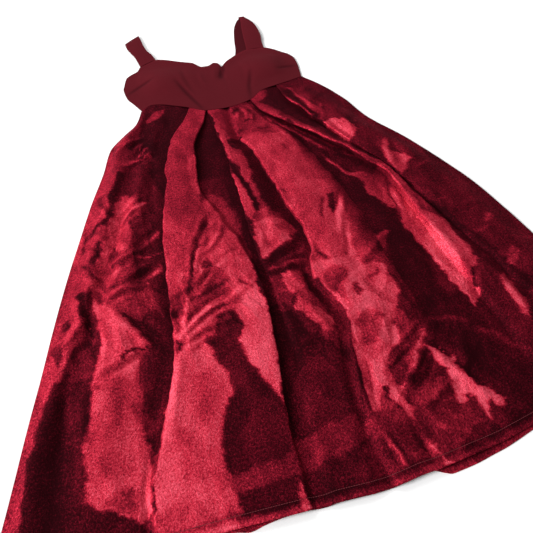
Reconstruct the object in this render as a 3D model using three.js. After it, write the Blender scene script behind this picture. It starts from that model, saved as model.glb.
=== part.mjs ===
// Sleeveless evening dress with wide shoulder straps, laid flat on its back with the front upwards.
// Units are millimetres. +X is to the viewer's right, +Y runs from the hem to the neck, +Z is up.
// The tables below are measured from the middle of the waist seam. The last lines move the whole
// dress so that the middle of its outline lies over the origin and its underside on z = 0.

import * as THREE from 'three';

// Cloth and seams
const crepeWall = 1.2;
const velvetWall = 1.2;
const hemWall = 1.9;
const seamGap = 0.3;
const waistGap = 0.9;
const pressedGap = 0.6;
const layerStep = velvetWall + pressedGap;

// Lowest height of the middle of the front's wall
const frontLow = velvetWall + seamGap + velvetWall / 2 + 0.3;

// Outline centre, used to put the origin under the middle of the dress
const outlineMiddle = { x: -5, y: -293 };

const velvet = new THREE.MeshStandardMaterial({ color: 0x8e1a2c, roughness: 0.45, metalness: 0.1 });
const crepe = new THREE.MeshStandardMaterial({ color: 0x5e1a22, roughness: 0.9, metalness: 0 });

// A smooth curve through a short table: no value rises above or falls below its neighbours' range.
function along(places, values, at) {
  const last = places.length - 1;
  if (at <= places[0]) return values[0];
  if (at >= places[last]) return values[last];
  let i = 0;
  while (at > places[i + 1]) i += 1;
  const slope = (k) => (values[k + 1] - values[k]) / (places[k + 1] - places[k]);
  const tangent = (k) => {
    if (k === 0 || k === last) return 0;
    const before = slope(k - 1);
    const after = slope(k);
    return before * after <= 0 ? 0 : (2 * before * after) / (before + after);
  };
  const span = places[i + 1] - places[i];
  const t = (at - places[i]) / span;
  const startTangent = i === 0 ? slope(0) : tangent(i);
  const endTangent = i + 1 === last ? slope(last - 1) : tangent(i + 1);
  const t2 = t * t;
  const t3 = t2 * t;
  return (
    (2 * t3 - 3 * t2 + 1) * values[i] +
    (t3 - 2 * t2 + t) * span * startTangent +
    (3 * t2 - 2 * t3) * values[i + 1] +
    (t3 - t2) * span * endTangent
  );
}

const mix = (a, b, t) => a + (b - a) * t;
const ease = (t) => (1 - Math.cos(Math.PI * t)) / 2;
const clamp01 = (t) => Math.min(1, Math.max(0, t));
const bell = (distance, width) => Math.exp(-((distance / width) ** 2));

// Waist seam: it dips to a soft V at the centre front.
const waistSeam = {
  x: [-177, -154, -131, -104, -77, -45, -2, 50, 92, 134, 174, 189],
  y: [1, 11, 5, -10, -26, -47, -51, -41, -12, -3, 9, 15],
};
const waistY = (x) => along(waistSeam.x, waistSeam.y, x);

// Stations down the skirt, from the waist seam (0) to the hem (1)
const stations = [0, 0.05, 0.085, 0.13, 0.2, 0.3, 0.4, 0.5, 0.6, 0.7, 0.8, 0.9, 1];
const skirtRows = [
  0, 0.02, 0.05, 0.085, 0.11, 0.13, 0.16, 0.2, 0.25, 0.3, 0.35, 0.4, 0.45, 0.5,
  0.55, 0.6, 0.65, 0.7, 0.75, 0.8, 0.85, 0.9, 0.945, 0.975, 0.985, 1,
];
const hemTurn = 0.98;

// Lines down the front of the skirt, left to right. x and z are given at each station. A line with
// turned is the edge of a pressed pleat: turned names the way its edge faces, tuck is how far the
// cloth is folded back under it, and a negative tuck is a slope that wide, with nothing under it.
const frontLines = [
  { name: 'left side', hemY: -858,
    x: [-177, -195, -225, -258, -278, -312, -342, -371, -397, -421, -446, -470, -495],
    z: [2.2, 2.2, 2.2, 2.2, 2.2, 2.2, 2.2, 2.2, 2.2, 2.2, 2.2, 2.2, 2.2] },
  { name: 'left brow', hemY: -862,
    x: [-171, -184, -204, -233, -249, -276, -304, -332, -360, -390, -420, -446, -469],
    z: [3.2, 6, 9, 11, 12, 12, 12, 12, 11, 10, 10, 9, 7] },
  { name: 'left valley', hemY: -866,
    x: [-160, -170, -180, -198, -216, -241, -271, -303, -334, -364, -391, -413, -431],
    z: [3.2, 4, 4.5, 4.5, 4, 4, 4, 5, 4.5, 4, 3.8, 3.6, 3.6] },
  { name: 'left swell', hemY: -872,
    x: [-138, -150, -160, -174, -196, -226, -256, -282, -303, -322, -340, -352, -361],
    z: [3.8, 6, 7, 7, 7, 9, 11, 12, 12, 11, 10, 9, 7] },
  { name: 'left recess', hemY: -878,
    x: [-104, -120, -134, -157, -180, -194, -212, -226, -238, -248, -274, -300, -316],
    z: [3.6, 3.6, 3.6, 3.4, 3.4, 3.4, 3.6, 3.8, 4, 4, 4, 4.4, 4.4] },
  { name: 'left pleat', turned: 'left', hemY: -881,
    x: [-78, -97, -117, -139, -158, -173, -193, -205, -213, -223, -250, -280, -292],
    z: [6.4, 9, 11, 13, 15, 16, 16, 15, 13, 14, 12, 9, 7],
    tuck: [6, 12, 14, 14, 12, 10, 8, 5, 1, 3, -3, -10, -14] },
  { name: 'left panel', hemY: -884,
    x: [-67, -80, -95, -113, -130, -143, -148, -146, -145, -152, -166, -184, -194],
    z: [6.4, 9, 11, 13.5, 15.5, 16.5, 16.5, 15, 14, 13, 11, 9, 7] },
  { name: 'inverted pleat left', turned: 'right', hemY: -889,
    x: [-46.5, -60, -74, -89, -101, -110, -92, -71, -61, -68, -81, -93, -100],
    z: [6.4, 9, 11, 13, 14, 13, 12, 12, 14, 15, 14, 11, 8],
    tuck: [16, 18, 16, 13, 8, -6, -14, -10, -2, 3, 2, -4, -10] },
  { name: 'inverted pleat right', turned: 'left', hemY: -890,
    x: [-42.5, -43, -42, -42, -40, -43, -46, -46, -40, -36, -42, -54, -62],
    z: [6.4, 9, 11, 12, 13, 12, 11, 10, 8, 7, 6, 6, 6],
    tuck: [15, 15, 13, 11, 10, 8, 5, 2, -4, -10, -14, -16, -16] },
  { name: 'centre strip', hemY: -893,
    x: [-19, -22, -23, -22, -17, -11, -7, -6, -1, 10, 4, -8, -15],
    z: [6.4, 8, 9, 10, 11, 11, 11, 9.5, 9, 9, 8, 7, 6] },
  { name: 'centre fold', turned: 'left', hemY: -892,
    x: [8, 7, 5, 4, 18, 26, 34, 48, 30, 46, 30, 20, 25],
    z: [6.4, 7.5, 8.5, 10, 12, 14, 14, 13, 11, 12, 11, 9, 7],
    tuck: [-8, -8, -8, -6, -3, 3, 1, -1, 3, 2, -3, -8, -12] },
  { name: 'centre panel', hemY: -889,
    x: [28, 34, 39, 46, 62, 68, 76, 86, 72, 84, 64, 52, 55],
    z: [6.4, 8.5, 10, 12, 14.5, 15.5, 15.5, 14, 12, 12.5, 11, 9, 7.5] },
  { name: 'centre brow', hemY: -888,
    x: [43, 52, 62, 78, 97, 106, 117, 121, 116, 128, 100, 84, 86],
    z: [5.4, 7.5, 9, 10.5, 12, 12, 11.5, 11, 10, 10, 9, 8, 7] },
  { name: 'right recess', hemY: -878,
    x: [49, 59, 71, 92, 124, 150, 168, 180, 190, 190, 184, 180, 182],
    z: [3.4, 3.4, 3.4, 3.4, 3.4, 3.4, 3.6, 3.8, 4, 4, 4, 4.4, 4.4] },
  { name: 'right pleat', turned: 'left', hemY: -858,
    x: [55, 64, 78, 104, 149, 200, 240, 251, 262, 274, 284, 294, 302],
    z: [6.4, 10, 13, 15, 17, 17, 16, 15, 13, 12, 10, 8, 7],
    tuck: [16, 16, 14, 12, 10, 6, 1, -3, -8, -12, -14, -16, -16] },
  { name: 'right ridge', hemY: -851,
    x: [82, 92, 105, 126, 163, 211, 250, 268, 284, 302, 320, 336, 350],
    z: [6.4, 8.5, 10, 11.5, 13, 14, 13.5, 13, 12, 11, 10, 8, 7] },
  { name: 'right groove', turned: 'left', hemY: -843,
    x: [124, 128, 137, 152, 178, 222, 260, 286, 312, 338, 358, 376, 393],
    z: [6.2, 9, 11, 12, 12, 11, 10, 10, 9, 8.5, 8, 7, 6],
    tuck: [9, 8, 7, 5, 1, -3, -3, -5, -6, -8, -10, -12, -14] },
  { name: 'right swell', hemY: -832,
    x: [154, 170, 184, 202, 228, 274, 312, 338, 360, 382, 404, 424, 442],
    z: [4.4, 7, 9, 11, 12, 12, 11, 11, 10, 10, 9, 8, 6.5] },
  { name: 'right side', hemY: -820,
    x: [189, 219, 236, 253, 272, 320, 359, 391, 411, 428, 446, 466, 487],
    z: [2.2, 2.2, 2.2, 2.2, 2.2, 2.2, 2.2, 2.2, 2.2, 2.2, 2.2, 2.2, 2.2] },
];

// The row through a line: the waist's V fades out down the skirt and the hem's curve fades in.
const skirtFall = 866;
function rowY(waistHeight, hemHeight, s) {
  return -skirtFall * s + waistHeight * (1 - s) ** 2 + (hemHeight + skirtFall) * s ** 2;
}

// Points across a pleat's edge at one station, as offsets from the edge: folded, then as a slope.
const foldedEdge = (tuck, low, high, frontTurn) => [
  [tuck - 1.6, low],
  [tuck, low + layerStep / 2],
  [tuck - 1.6, low + layerStep],
  [1.8, high - frontTurn],
  [0, high - frontTurn / 2],
  [1.8, high],
];
const slopedEdge = (width, low, high) => {
  const rise = high - low;
  return [
    [-width, low],
    [-0.8 * width, low + 0.12 * rise],
    [-0.58 * width, low + 0.36 * rise],
    [-0.32 * width, low + 0.7 * rise],
    [-0.1 * width, low + 0.93 * rise],
    [2.4, high],
  ];
};
function pleatEdge(tuck, low, high) {
  const frontTurn = Math.min(4, Math.max(layerStep, 0.3 * (high - low)));
  const folded = foldedEdge(Math.max(tuck, 1.8), low, high, frontTurn);
  const sloped = slopedEdge(Math.max(-tuck, 3), low, high);
  const blend = ease(clamp01((tuck + 3) / 6));
  return folded.map(([x, z], i) => [mix(sloped[i][0], x, blend), mix(sloped[i][1], z, blend)]);
}

// One line's points at one station: one point, or six across a pleat's edge. Each keeps the place
// where its own line meets the waist seam and the hem, which sets how far up the dress it lies.
function linePoints(line, s) {
  const x = along(stations, line.x, s);
  const z = along(stations, line.z, s);
  const placed = ([dx, dz]) => ({ x: x + dx, z: dz, waistX: line.x[0] + dx, hemY: line.hemY });
  if (!line.turned) return [placed([0, z])];
  const offsets = pleatEdge(along(stations, line.tuck, s), frontLow, z);
  if (line.turned === 'left') return offsets.map(placed);
  return offsets.map(([dx, dz]) => placed([-dx, dz])).reverse();
}

// Points between two lines, so that crests and valleys are round.
const between = [0.28, 0.72];
function fillBetween(from, to) {
  return between.map((t) => ({
    x: mix(from.x, to.x, t),
    z: mix(from.z, to.z, ease(t)),
    waistX: mix(from.waistX, to.waistX, t),
    hemY: mix(from.hemY, to.hemY, t),
  }));
}

function frontSkirtRow(s) {
  const row = [];
  frontLines.forEach((line, i) => {
    const points = linePoints(line, s);
    if (i > 0) row.push(...fillBetween(row[row.length - 1], points[0]));
    row.push(...points);
  });
  return row.map((p) => new THREE.Vector3(p.x, rowY(waistY(p.waistX), p.hemY, s), p.z));
}

// A wall round a grid of middle points. wallAt gives the thickness for each row.
function clothWall(rows, wallAt) {
  const rowCount = rows.length;
  const columnCount = rows[0].length;
  const outer = [];
  const inner = [];
  rows.forEach((row, r) => row.forEach((point, c) => {
    const acrossWidth = new THREE.Vector3().subVectors(
      row[Math.min(c + 1, columnCount - 1)], row[Math.max(c - 1, 0)]);
    const alongLength = new THREE.Vector3().subVectors(
      rows[Math.max(r - 1, 0)][c], rows[Math.min(r + 1, rowCount - 1)][c]);
    const normal = acrossWidth.cross(alongLength).normalize();
    const half = wallAt(r) / 2;
    outer.push(point.clone().addScaledVector(normal, half));
    inner.push(point.clone().addScaledVector(normal, -half));
  }));
  return closedSheet(outer, inner, rowCount, columnCount);
}

// A closed body between an upper and a lower grid of points, joined round their edges.
function closedSheet(upper, lower, rowCount, columnCount) {
  const positions = [...upper, ...lower].flatMap((point) => [point.x, point.y, point.z]);
  const top = (r, c) => r * columnCount + c;
  const under = (r, c) => upper.length + top(r, c);
  const faces = [];
  const quad = (a, b, c, d) => faces.push(a, b, c, a, c, d);
  for (let r = 0; r < rowCount - 1; r += 1) {
    for (let c = 0; c < columnCount - 1; c += 1) {
      quad(top(r, c), top(r + 1, c), top(r + 1, c + 1), top(r, c + 1));
      quad(under(r, c), under(r, c + 1), under(r + 1, c + 1), under(r + 1, c));
    }
  }
  for (let c = 0; c < columnCount - 1; c += 1) {
    const r = rowCount - 1;
    quad(top(0, c), top(0, c + 1), under(0, c + 1), under(0, c));
    quad(top(r, c), under(r, c), under(r, c + 1), top(r, c + 1));
  }
  for (let r = 0; r < rowCount - 1; r += 1) {
    const c = columnCount - 1;
    quad(top(r, 0), under(r, 0), under(r + 1, 0), top(r + 1, 0));
    quad(top(r, c), top(r + 1, c), under(r + 1, c), under(r, c));
  }
  const geometry = new THREE.BufferGeometry();
  geometry.setAttribute('position', new THREE.Float32BufferAttribute(positions, 3));
  geometry.setIndex(faces);
  geometry.computeVertexNormals();
  return geometry;
}

// Front of the skirt: one wide pleated panel with a stitched hem
function frontSkirt() {
  const rows = skirtRows.map(frontSkirtRow);
  return clothWall(rows, (r) => (skirtRows[r] >= hemTurn ? hemWall : velvetWall));
}

// Back of the skirt: it lies flat on the surface, apart from low folds that run up from the hem
// under the front's high places. Its hem shows past the front's in two places.
const backHem = {
  x: [-495, -400, -300, -215, -196, -178, -158, -130, 0, 70, 86, 96, 112, 133, 156, 180, 205, 228, 330, 487],
  y: [-862, -874, -882, -884, -887, -891, -888, -886, -886, -886, -893, -897, -896, -894, -890, -886,
    -880, -874, -853, -824],
};
const backFolds = [
  { fromWaist: -150, toHem: -352, height: 2.4, width: 12 },
  { fromWaist: -92, toHem: -194, height: 2.4, width: 11 },
  { fromWaist: -4, toHem: -12, height: 2, width: 8 },
  { fromWaist: 110, toHem: 68, height: 2.4, width: 10 },
  { fromWaist: 190, toHem: 350, height: 2.4, width: 11 },
  { fromWaist: 212, toHem: 442, height: 2.2, width: 11 },
];
const foldsStart = 0.5;
const foldsFull = 0.72;
const backRows = [0, 0.05, 0.085, 0.13, 0.2, 0.3, 0.36, 0.43, 0.5, 0.6, 0.7, 0.8, 0.9, 1];

// Columns of the back, as places along the hem: close together where its hem shows
const backSpans = [
  { from: -495, to: -215, count: 14 },
  { from: -215, to: -125, count: 9 },
  { from: -125, to: 65, count: 9 },
  { from: 65, to: 125, count: 6 },
  { from: 125, to: 487, count: 18 },
];
const backColumns = backSpans.flatMap(({ from, to, count }) =>
  Array.from({ length: count }, (_, i) => mix(from, to, i / count))).concat(487);
const leftSide = frontLines[0];
const rightSide = frontLines[frontLines.length - 1];

function backSkirt() {
  const upper = [];
  const lower = [];
  for (const s of backRows) {
    const leftX = along(stations, leftSide.x, s);
    const rightX = along(stations, rightSide.x, s);
    for (const hemX of backColumns) {
      const across = (hemX - leftSide.x.at(-1)) / (rightSide.x.at(-1) - leftSide.x.at(-1));
      const x = mix(leftX, rightX, across);
      const waistX = mix(leftSide.x[0], rightSide.x[0], across);
      const y = rowY(backWaistY(waistX), along(backHem.x, backHem.y, hemX), s);
      const grown = ease(clamp01((s - foldsStart) / (foldsFull - foldsStart)));
      let lift = 0;
      for (const fold of backFolds) {
        lift += grown * fold.height * bell(x - mix(fold.fromWaist, fold.toHem, s), fold.width);
      }
      const floorLift = lift > 0.35 ? lift : 0;
      upper.push(new THREE.Vector3(x, y, velvetWall + floorLift));
      lower.push(new THREE.Vector3(x, y, floorLift));
    }
  }
  return closedSheet(upper, lower, backRows.length, backColumns.length);
}

// Back waist seam: nearly straight, behind the front's V
const backWaist = { x: [-177, -120, 0, 120, 189], y: [1, -2, -8, 2, 15] };
const backWaistY = (x) => along(backWaist.x, backWaist.y, x);

// Front of the bodice: one column for each row of this table, from the left underarm to the right.
// It has a sweetheart neckline that is pinched at the centre, two waist darts and two side darts.
const bodiceColumns = [
  { waistX: -177, topX: -198, topY: 114 },
  { waistX: -170, topX: -192, topY: 131 },
  { waistX: -162, topX: -180, topY: 141 },
  { waistX: -152, topX: -164, topY: 150 },
  { waistX: -143, topX: -155, topY: 165 },
  { waistX: -130, topX: -136, topY: 173.8 },
  { waistX: -112, topX: -116, topY: 183 },
  { waistX: -98, topX: -97, topY: 177 },
  { waistX: -84, topX: -81, topY: 168 },
  { waistX: -70, topX: -66, topY: 159 },
  { waistX: -57, topX: -51, topY: 151 },
  { waistX: -46, topX: -36, topY: 143 },
  { waistX: -36, topX: -28, topY: 131 },
  { waistX: -26, topX: -20, topY: 121 },
  { waistX: -12, topX: -4, topY: 120 },
  { waistX: 2, topX: 11, topY: 128 },
  { waistX: 12, topX: 21, topY: 122 },
  { waistX: 18, topX: 25, topY: 107 },
  { waistX: 25, topX: 32, topY: 115 },
  { waistX: 33, topX: 40, topY: 124 },
  { waistX: 46, topX: 55, topY: 135 },
  { waistX: 60, topX: 70, topY: 145 },
  { waistX: 74, topX: 84, topY: 152 },
  { waistX: 82, topX: 91, topY: 155 },
  { waistX: 90, topX: 98, topY: 157 },
  { waistX: 101, topX: 108, topY: 156.1 },
  { waistX: 112, topX: 119, topY: 155 },
  { waistX: 134, topX: 140, topY: 153 },
  { waistX: 152, topX: 157, topY: 143 },
  { waistX: 170, topX: 172, topY: 128 },
  { waistX: 189, topX: 187, topY: 113 },
];
const bodiceRows = [0, 0.06, 0.16, 0.28, 0.4, 0.52, 0.64, 0.76, 0.87, 0.95, 1];

// The side seams bow out over the fullness of the bust: extra width at each height
const sideBow = { v: [0, 0.25, 0.5, 0.75, 0.9, 1], left: [0, 7, 14, 12, 5, 0], right: [0, 4, 8, 9, 5, 0] };

// Where the bodice meets the pleats its middle rides at their height, and comes down at the sides.
const waistHeight = {
  x: [-177, -160, -125, -80, 125, 158, 189],
  z: [2.2, 3.4, 5, 6.4, 6.4, 4.6, 2.2],
};
const edgeHeight = 3.6;
const sideHeight = 2.2;
const cups = [
  { x: -112, y: 88, height: 8.5, wide: 56, tall: 50 },
  { x: 112, y: 78, height: 8.5, wide: 54, tall: 48 },
];
const darts = [
  { from: [-50, -44], to: [-88, 78], depth: 1.5, width: 7 },
  { from: [56, -38], to: [84, 66], depth: 1.2, width: 7 },
  { from: [-199, 66], to: [-134, 100], depth: 1.3, width: 6 },
  { from: [192, 60], to: [142, 52], depth: 1.1, width: 6 },
  { from: [25, 104], to: [12, 60], depth: 2.2, width: 6 },
];

function distanceToDart(x, y, dart) {
  const dx = dart.to[0] - dart.from[0];
  const dy = dart.to[1] - dart.from[1];
  const t = clamp01(((x - dart.from[0]) * dx + (y - dart.from[1]) * dy) / (dx * dx + dy * dy));
  return Math.hypot(x - dart.from[0] - t * dx, y - dart.from[1] - t * dy);
}

const placeAcross = (waistX) => (waistX - leftSide.x[0]) / (rightSide.x[0] - leftSide.x[0]);

function seamBow(waistX, v) {
  const place = placeAcross(waistX);
  return along(sideBow.v, sideBow.right, v) * place ** 3
    - along(sideBow.v, sideBow.left, v) * (1 - place) ** 3;
}

function bodicePoint(column, v) {
  const place = placeAcross(column.waistX);
  const x = mix(column.waistX, column.topX, v) + seamBow(column.waistX, v);
  const y = mix(waistY(column.waistX) + waistGap, column.topY, v);
  const fromSide = clamp01(Math.min(place, 1 - place) / 0.16);
  const rim = mix(sideHeight, edgeHeight, ease(fromSide));
  let z = mix(along(waistHeight.x, waistHeight.z, column.waistX), rim, ease(v));
  const inside = ease(fromSide) * ease(clamp01(v / 0.35)) * ease(clamp01((1 - v) / 0.3));
  for (const cup of cups) {
    z += inside * cup.height * bell(x - cup.x, cup.wide) * bell(y - cup.y, cup.tall);
  }
  for (const dart of darts) z -= inside * dart.depth * bell(distanceToDart(x, y, dart), dart.width);
  return new THREE.Vector3(x, y, z);
}

function frontBodice() {
  const rows = bodiceRows.map((v) => bodiceColumns.map((column) => bodicePoint(column, v)));
  return clothWall(rows.reverse(), () => crepeWall);
}

// Back of the bodice: flat on the surface, cut nearly straight across below the front's neckline
const backBodiceColumns = [
  { waistX: -177, topX: -198, topY: 112 },
  { waistX: -168, topX: -186, topY: 121 },
  { waistX: -158, topX: -170, topY: 129 },
  { waistX: -146, topX: -152, topY: 134 },
  { waistX: -131, topX: -132, topY: 136 },
  { waistX: -114, topX: -112, topY: 138 },
  { waistX: -98, topX: -92, topY: 124 },
  { waistX: -78, topX: -70, topY: 112 },
  { waistX: -48, topX: -42, topY: 102 },
  { waistX: -12, topX: -6, topY: 98 },
  { waistX: 20, topX: 24, topY: 101 },
  { waistX: 43, topX: 46, topY: 111 },
  { waistX: 60, topX: 66, topY: 128 },
  { waistX: 84, topX: 89, topY: 130 },
  { waistX: 108, topX: 112, topY: 132 },
  { waistX: 134, topX: 138, topY: 127 },
  { waistX: 160, topX: 163, topY: 119 },
  { waistX: 189, topX: 187, topY: 110 },
];
const backBodiceRows = [1, 0.9, 0.75, 0.5, 0.25, 0];

function backBodice() {
  const upper = [];
  const lower = [];
  for (const v of backBodiceRows) {
    for (const column of backBodiceColumns) {
      const x = mix(column.waistX, column.topX, v) + seamBow(column.waistX, v);
      const y = mix(backWaistY(column.waistX) + seamGap, column.topY, v);
      upper.push(new THREE.Vector3(x, y, crepeWall));
      lower.push(new THREE.Vector3(x, y, 0));
    }
  }
  return closedSheet(upper, lower, backBodiceRows.length, backBodiceColumns.length);
}

// Straps: each is one strip that rises from the front's edge, turns over at the shoulder and comes
// down under itself to the back's edge. Each row of a table is one section: its left and right
// edges in plan, and the height of its middle.
const strapLeft = [
  { left: [-155, 165.3], right: [-116, 183.3], z: 3.6 },
  { left: [-158, 184], right: [-121, 204], z: 4.6 },
  { left: [-162, 208], right: [-130, 226], z: 5.2 },
  { left: [-169, 230], right: [-134, 246], z: 5.4 },
  { left: [-174.5, 250], right: [-136, 268], z: 5 },
  { left: [-176, 266], right: [-137.5, 286], z: 4.4 },
  { left: [-175.5, 273], right: [-138.6, 300], z: 3.7 },
  { left: [-175.2, 275.4], right: [-138.8, 303], z: 2.15 },
  { left: [-174.6, 273], right: [-139.2, 299], z: 0.6 },
  { left: [-172, 262], right: [-140, 283], z: 0.6 },
  { left: [-168, 238], right: [-137, 256], z: 0.6 },
  { left: [-160, 212], right: [-132, 228], z: 0.6 },
  { left: [-155, 184], right: [-124, 196], z: 0.6 },
  { left: [-153, 158], right: [-117, 164], z: 0.6 },
  { left: [-152, 134.3], right: [-112, 138.3], z: 0.6 },
];
const strapRight = [
  { left: [98, 157.3], right: [140, 153.3], z: 3.6 },
  { left: [101, 176], right: [142, 178], z: 4.6 },
  { left: [104, 204], right: [147, 204], z: 5.4 },
  { left: [108, 232], right: [148.5, 229], z: 5.8 },
  { left: [112, 258], right: [147, 257], z: 5.8 },
  { left: [117, 282], right: [141, 282], z: 5.2 },
  { left: [119, 298], right: [134, 298], z: 4.4 },
  { left: [118, 306], right: [132, 306], z: 3.7 },
  { left: [118, 309.4], right: [132, 309.4], z: 2.15 },
  { left: [118, 306], right: [132, 306], z: 0.6 },
  { left: [110, 296], right: [133, 297], z: 0.6 },
  { left: [95, 264], right: [134, 268], z: 0.6 },
  { left: [87, 234], right: [131, 236], z: 0.6 },
  { left: [81, 206], right: [126, 206], z: 0.6 },
  { left: [74, 168], right: [120, 168], z: 0.6 },
  { left: [68, 146], right: [114, 150], z: 0.6 },
  { left: [66, 128.3], right: [112, 132.3], z: 0.6 },
];
const strapAcross = [0, 0.2, 0.5, 0.8, 1];
const strapCrown = 0.9;

function strap(sections) {
  const rows = sections.map((section) => strapAcross.map((t) => {
    const raised = section.z > 3 ? strapCrown * (1 - (2 * t - 1) ** 2) : 0;
    return new THREE.Vector3(
      mix(section.left[0], section.right[0], t),
      mix(section.left[1], section.right[1], t),
      section.z + raised);
  }));
  return clothWall(rows.reverse(), () => crepeWall);
}

const dress = new THREE.Group();
const pieces = [
  ['skirt_front', frontSkirt(), velvet],
  ['skirt_back', backSkirt(), velvet],
  ['bodice_front', frontBodice(), crepe],
  ['bodice_back', backBodice(), crepe],
  ['strap_left', strap(strapLeft), crepe],
  ['strap_right', strap(strapRight), crepe],
];
for (const [name, geometry, material] of pieces) {
  const piece = new THREE.Mesh(geometry, material);
  piece.name = name;
  dress.add(piece);
}
dress.position.set(-outlineMiddle.x, -outlineMiddle.y, 0);

export default dress;
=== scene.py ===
# %% [markdown]
# # A velvet evening dress, laid flat
# The dress lies on its back on a pale surface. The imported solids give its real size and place, and
# this lesson builds the cloth that is seen: a crepe bodice with two wide straps, and a long skirt of
# crushed velvet with pressed pleats, creases and a stitched hem. Every size is in millimetres from
# the middle of the waist seam, and is turned into metres when a mesh is made.

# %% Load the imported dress
import math

import bpy
import numpy as np
from mathutils import Matrix, Vector


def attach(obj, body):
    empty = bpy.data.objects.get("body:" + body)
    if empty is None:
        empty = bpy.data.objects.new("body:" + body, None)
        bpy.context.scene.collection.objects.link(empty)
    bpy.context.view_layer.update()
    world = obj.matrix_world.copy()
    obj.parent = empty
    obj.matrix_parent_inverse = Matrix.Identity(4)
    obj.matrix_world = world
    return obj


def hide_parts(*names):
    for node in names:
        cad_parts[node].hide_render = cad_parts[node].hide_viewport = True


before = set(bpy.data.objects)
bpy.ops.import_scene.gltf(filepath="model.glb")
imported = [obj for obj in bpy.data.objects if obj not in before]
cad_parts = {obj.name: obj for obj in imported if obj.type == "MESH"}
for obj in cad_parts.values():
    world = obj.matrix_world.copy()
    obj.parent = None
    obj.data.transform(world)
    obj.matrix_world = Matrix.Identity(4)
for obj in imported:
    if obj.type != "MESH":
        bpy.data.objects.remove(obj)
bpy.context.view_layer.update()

# %% [markdown]
# The solids are centred on their outline, so the middle of the waist seam is a little off the
# origin. Each object could be moved there instead, but a finished piece has its place in its mesh, so
# one helper turns points into metres and moves them, and no other cell has to know about it.

# %% Sizes and small helpers
METRE = 0.001
WAIST_MIDDLE = np.array([5.0, 293.0, 0.0])
VELVET_WALL = 1.2
CREPE_WALL = 1.2
HEM_WALL = 1.9
FRONT_LOW = 2.4
LAYER_STEP = 1.8


def metres(points):
    return (np.asarray(points, float) + WAIST_MIDDLE) * METRE


def mix(a, b, t):
    return a + (b - a) * t


def ease(t):
    return (1 - np.cos(np.pi * np.clip(t, 0, 1))) / 2


def bell(distance, width):
    return np.exp(-((distance / width) ** 2))


def table_slopes(places, values):
    steps = np.diff(values) / np.diff(places)
    slopes = np.empty(len(values))
    slopes[0], slopes[-1] = steps[0], steps[-1]
    for k in range(1, len(values) - 1):
        before, after = steps[k - 1], steps[k]
        slopes[k] = 0 if before * after <= 0 else 2 * before * after / (before + after)
    return slopes


def along(places, values, at):
    """A smooth curve through a short table, that never overshoots it."""
    places, values = np.asarray(places, float), np.asarray(values, float)
    at = np.clip(np.asarray(at, float), places[0], places[-1])
    slopes = table_slopes(places, values)
    i = np.clip(np.searchsorted(places, at, side="right") - 1, 0, len(places) - 2)
    span = places[i + 1] - places[i]
    t = (at - places[i]) / span
    return (
        (2 * t**3 - 3 * t**2 + 1) * values[i]
        + (t**3 - 2 * t**2 + t) * span * slopes[i]
        + (3 * t**2 - 2 * t**3) * values[i + 1]
        + (t**3 - t**2) * span * slopes[i + 1]
    )


print("waist middle in metres", metres([0, 0, 0]))

# %% [markdown]
# The camera stands past the hem and looks up the dress at an angle, as someone does who takes a
# picture of a garment on the floor. A 40 mm lens on a full-size sensor gives the same narrowing
# towards the neck. A camera can be aimed by a constraint, but three angles, tilt, turn and roll, are
# easy to read and to nudge one at a time.

# %% Camera
CAMERA_TILT, CAMERA_TURN, CAMERA_ROLL = 38.66, -14.59, -2.17
camera_data = bpy.data.cameras.new("Camera")
camera_data.lens, camera_data.sensor_width = 40, 36
camera = bpy.data.objects.new("Camera", camera_data)
bpy.context.collection.objects.link(camera)
turned = Matrix.Rotation(math.radians(CAMERA_TURN), 4, "Z")
tilted = Matrix.Rotation(math.radians(CAMERA_TILT), 4, "X")
rolled = Matrix.Rotation(math.radians(CAMERA_ROLL), 4, "Z")
camera_place = Vector((-0.1933, -0.8025, 0.7829))
camera.matrix_world = Matrix.Translation(camera_place) @ turned @ tilted @ rolled
bpy.context.scene.camera = camera
print("camera at", list(camera.location))

# %% [markdown]
# Velvet is only as good as its light. A soft sun stands low on the left, so that it rakes across the
# folds: slopes that face it glow and the pleats' far sides stay dark. A weaker square lamp beyond the
# neck lifts the shadows, and the world is an even white. A picture of a studio could light it all at
# once, but two lamps are easier to steer.

# %% Light and floor
# Each light: name, kind, place, size, power
LIGHTS = [
    ("Light_left", "SUN", (-2.0, -0.2, 1.15), 0.4, 3.9),
    ("Light_far", "AREA", (-1.2, 2.0, 1.9), 1.4, 45.0),
]
LIGHT_AIM = Vector((0, -0.15, 0))
WORLD_STRENGTH = 0.45
FLOOR_REACH = 8


def soft_light(name, kind, place, size, power):
    """size is the angle in radians that a sun fills, or the side in metres of a square lamp."""
    data = bpy.data.lights.new(name, kind)
    data.energy = power
    if kind == "SUN":
        data.angle = size
    else:
        data.shape, data.size = "SQUARE", size
    lamp = bpy.data.objects.new(name, data)
    lamp.location = place
    lamp.rotation_euler = (LIGHT_AIM - Vector(place)).to_track_quat("-Z", "Y").to_euler()
    bpy.context.collection.objects.link(lamp)
    return lamp


for light in LIGHTS:
    soft_light(*light)
world = bpy.data.worlds.new("Studio")
world.use_nodes = True
world.node_tree.nodes["Background"].inputs["Color"].default_value = (1, 1, 1, 1)
world.node_tree.nodes["Background"].inputs["Strength"].default_value = WORLD_STRENGTH
bpy.context.scene.world = world
bpy.context.scene.view_settings.view_transform = "Standard"
print(len(LIGHTS), "soft lights")


def floor_material():
    material = bpy.data.materials.new("Pale_floor")
    material.use_nodes = True
    shader = material.node_tree.nodes["Principled BSDF"]
    shader.inputs["Base Color"].default_value = (0.9, 0.9, 0.9, 1)
    shader.inputs["Roughness"].default_value = 0.8
    return material


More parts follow.
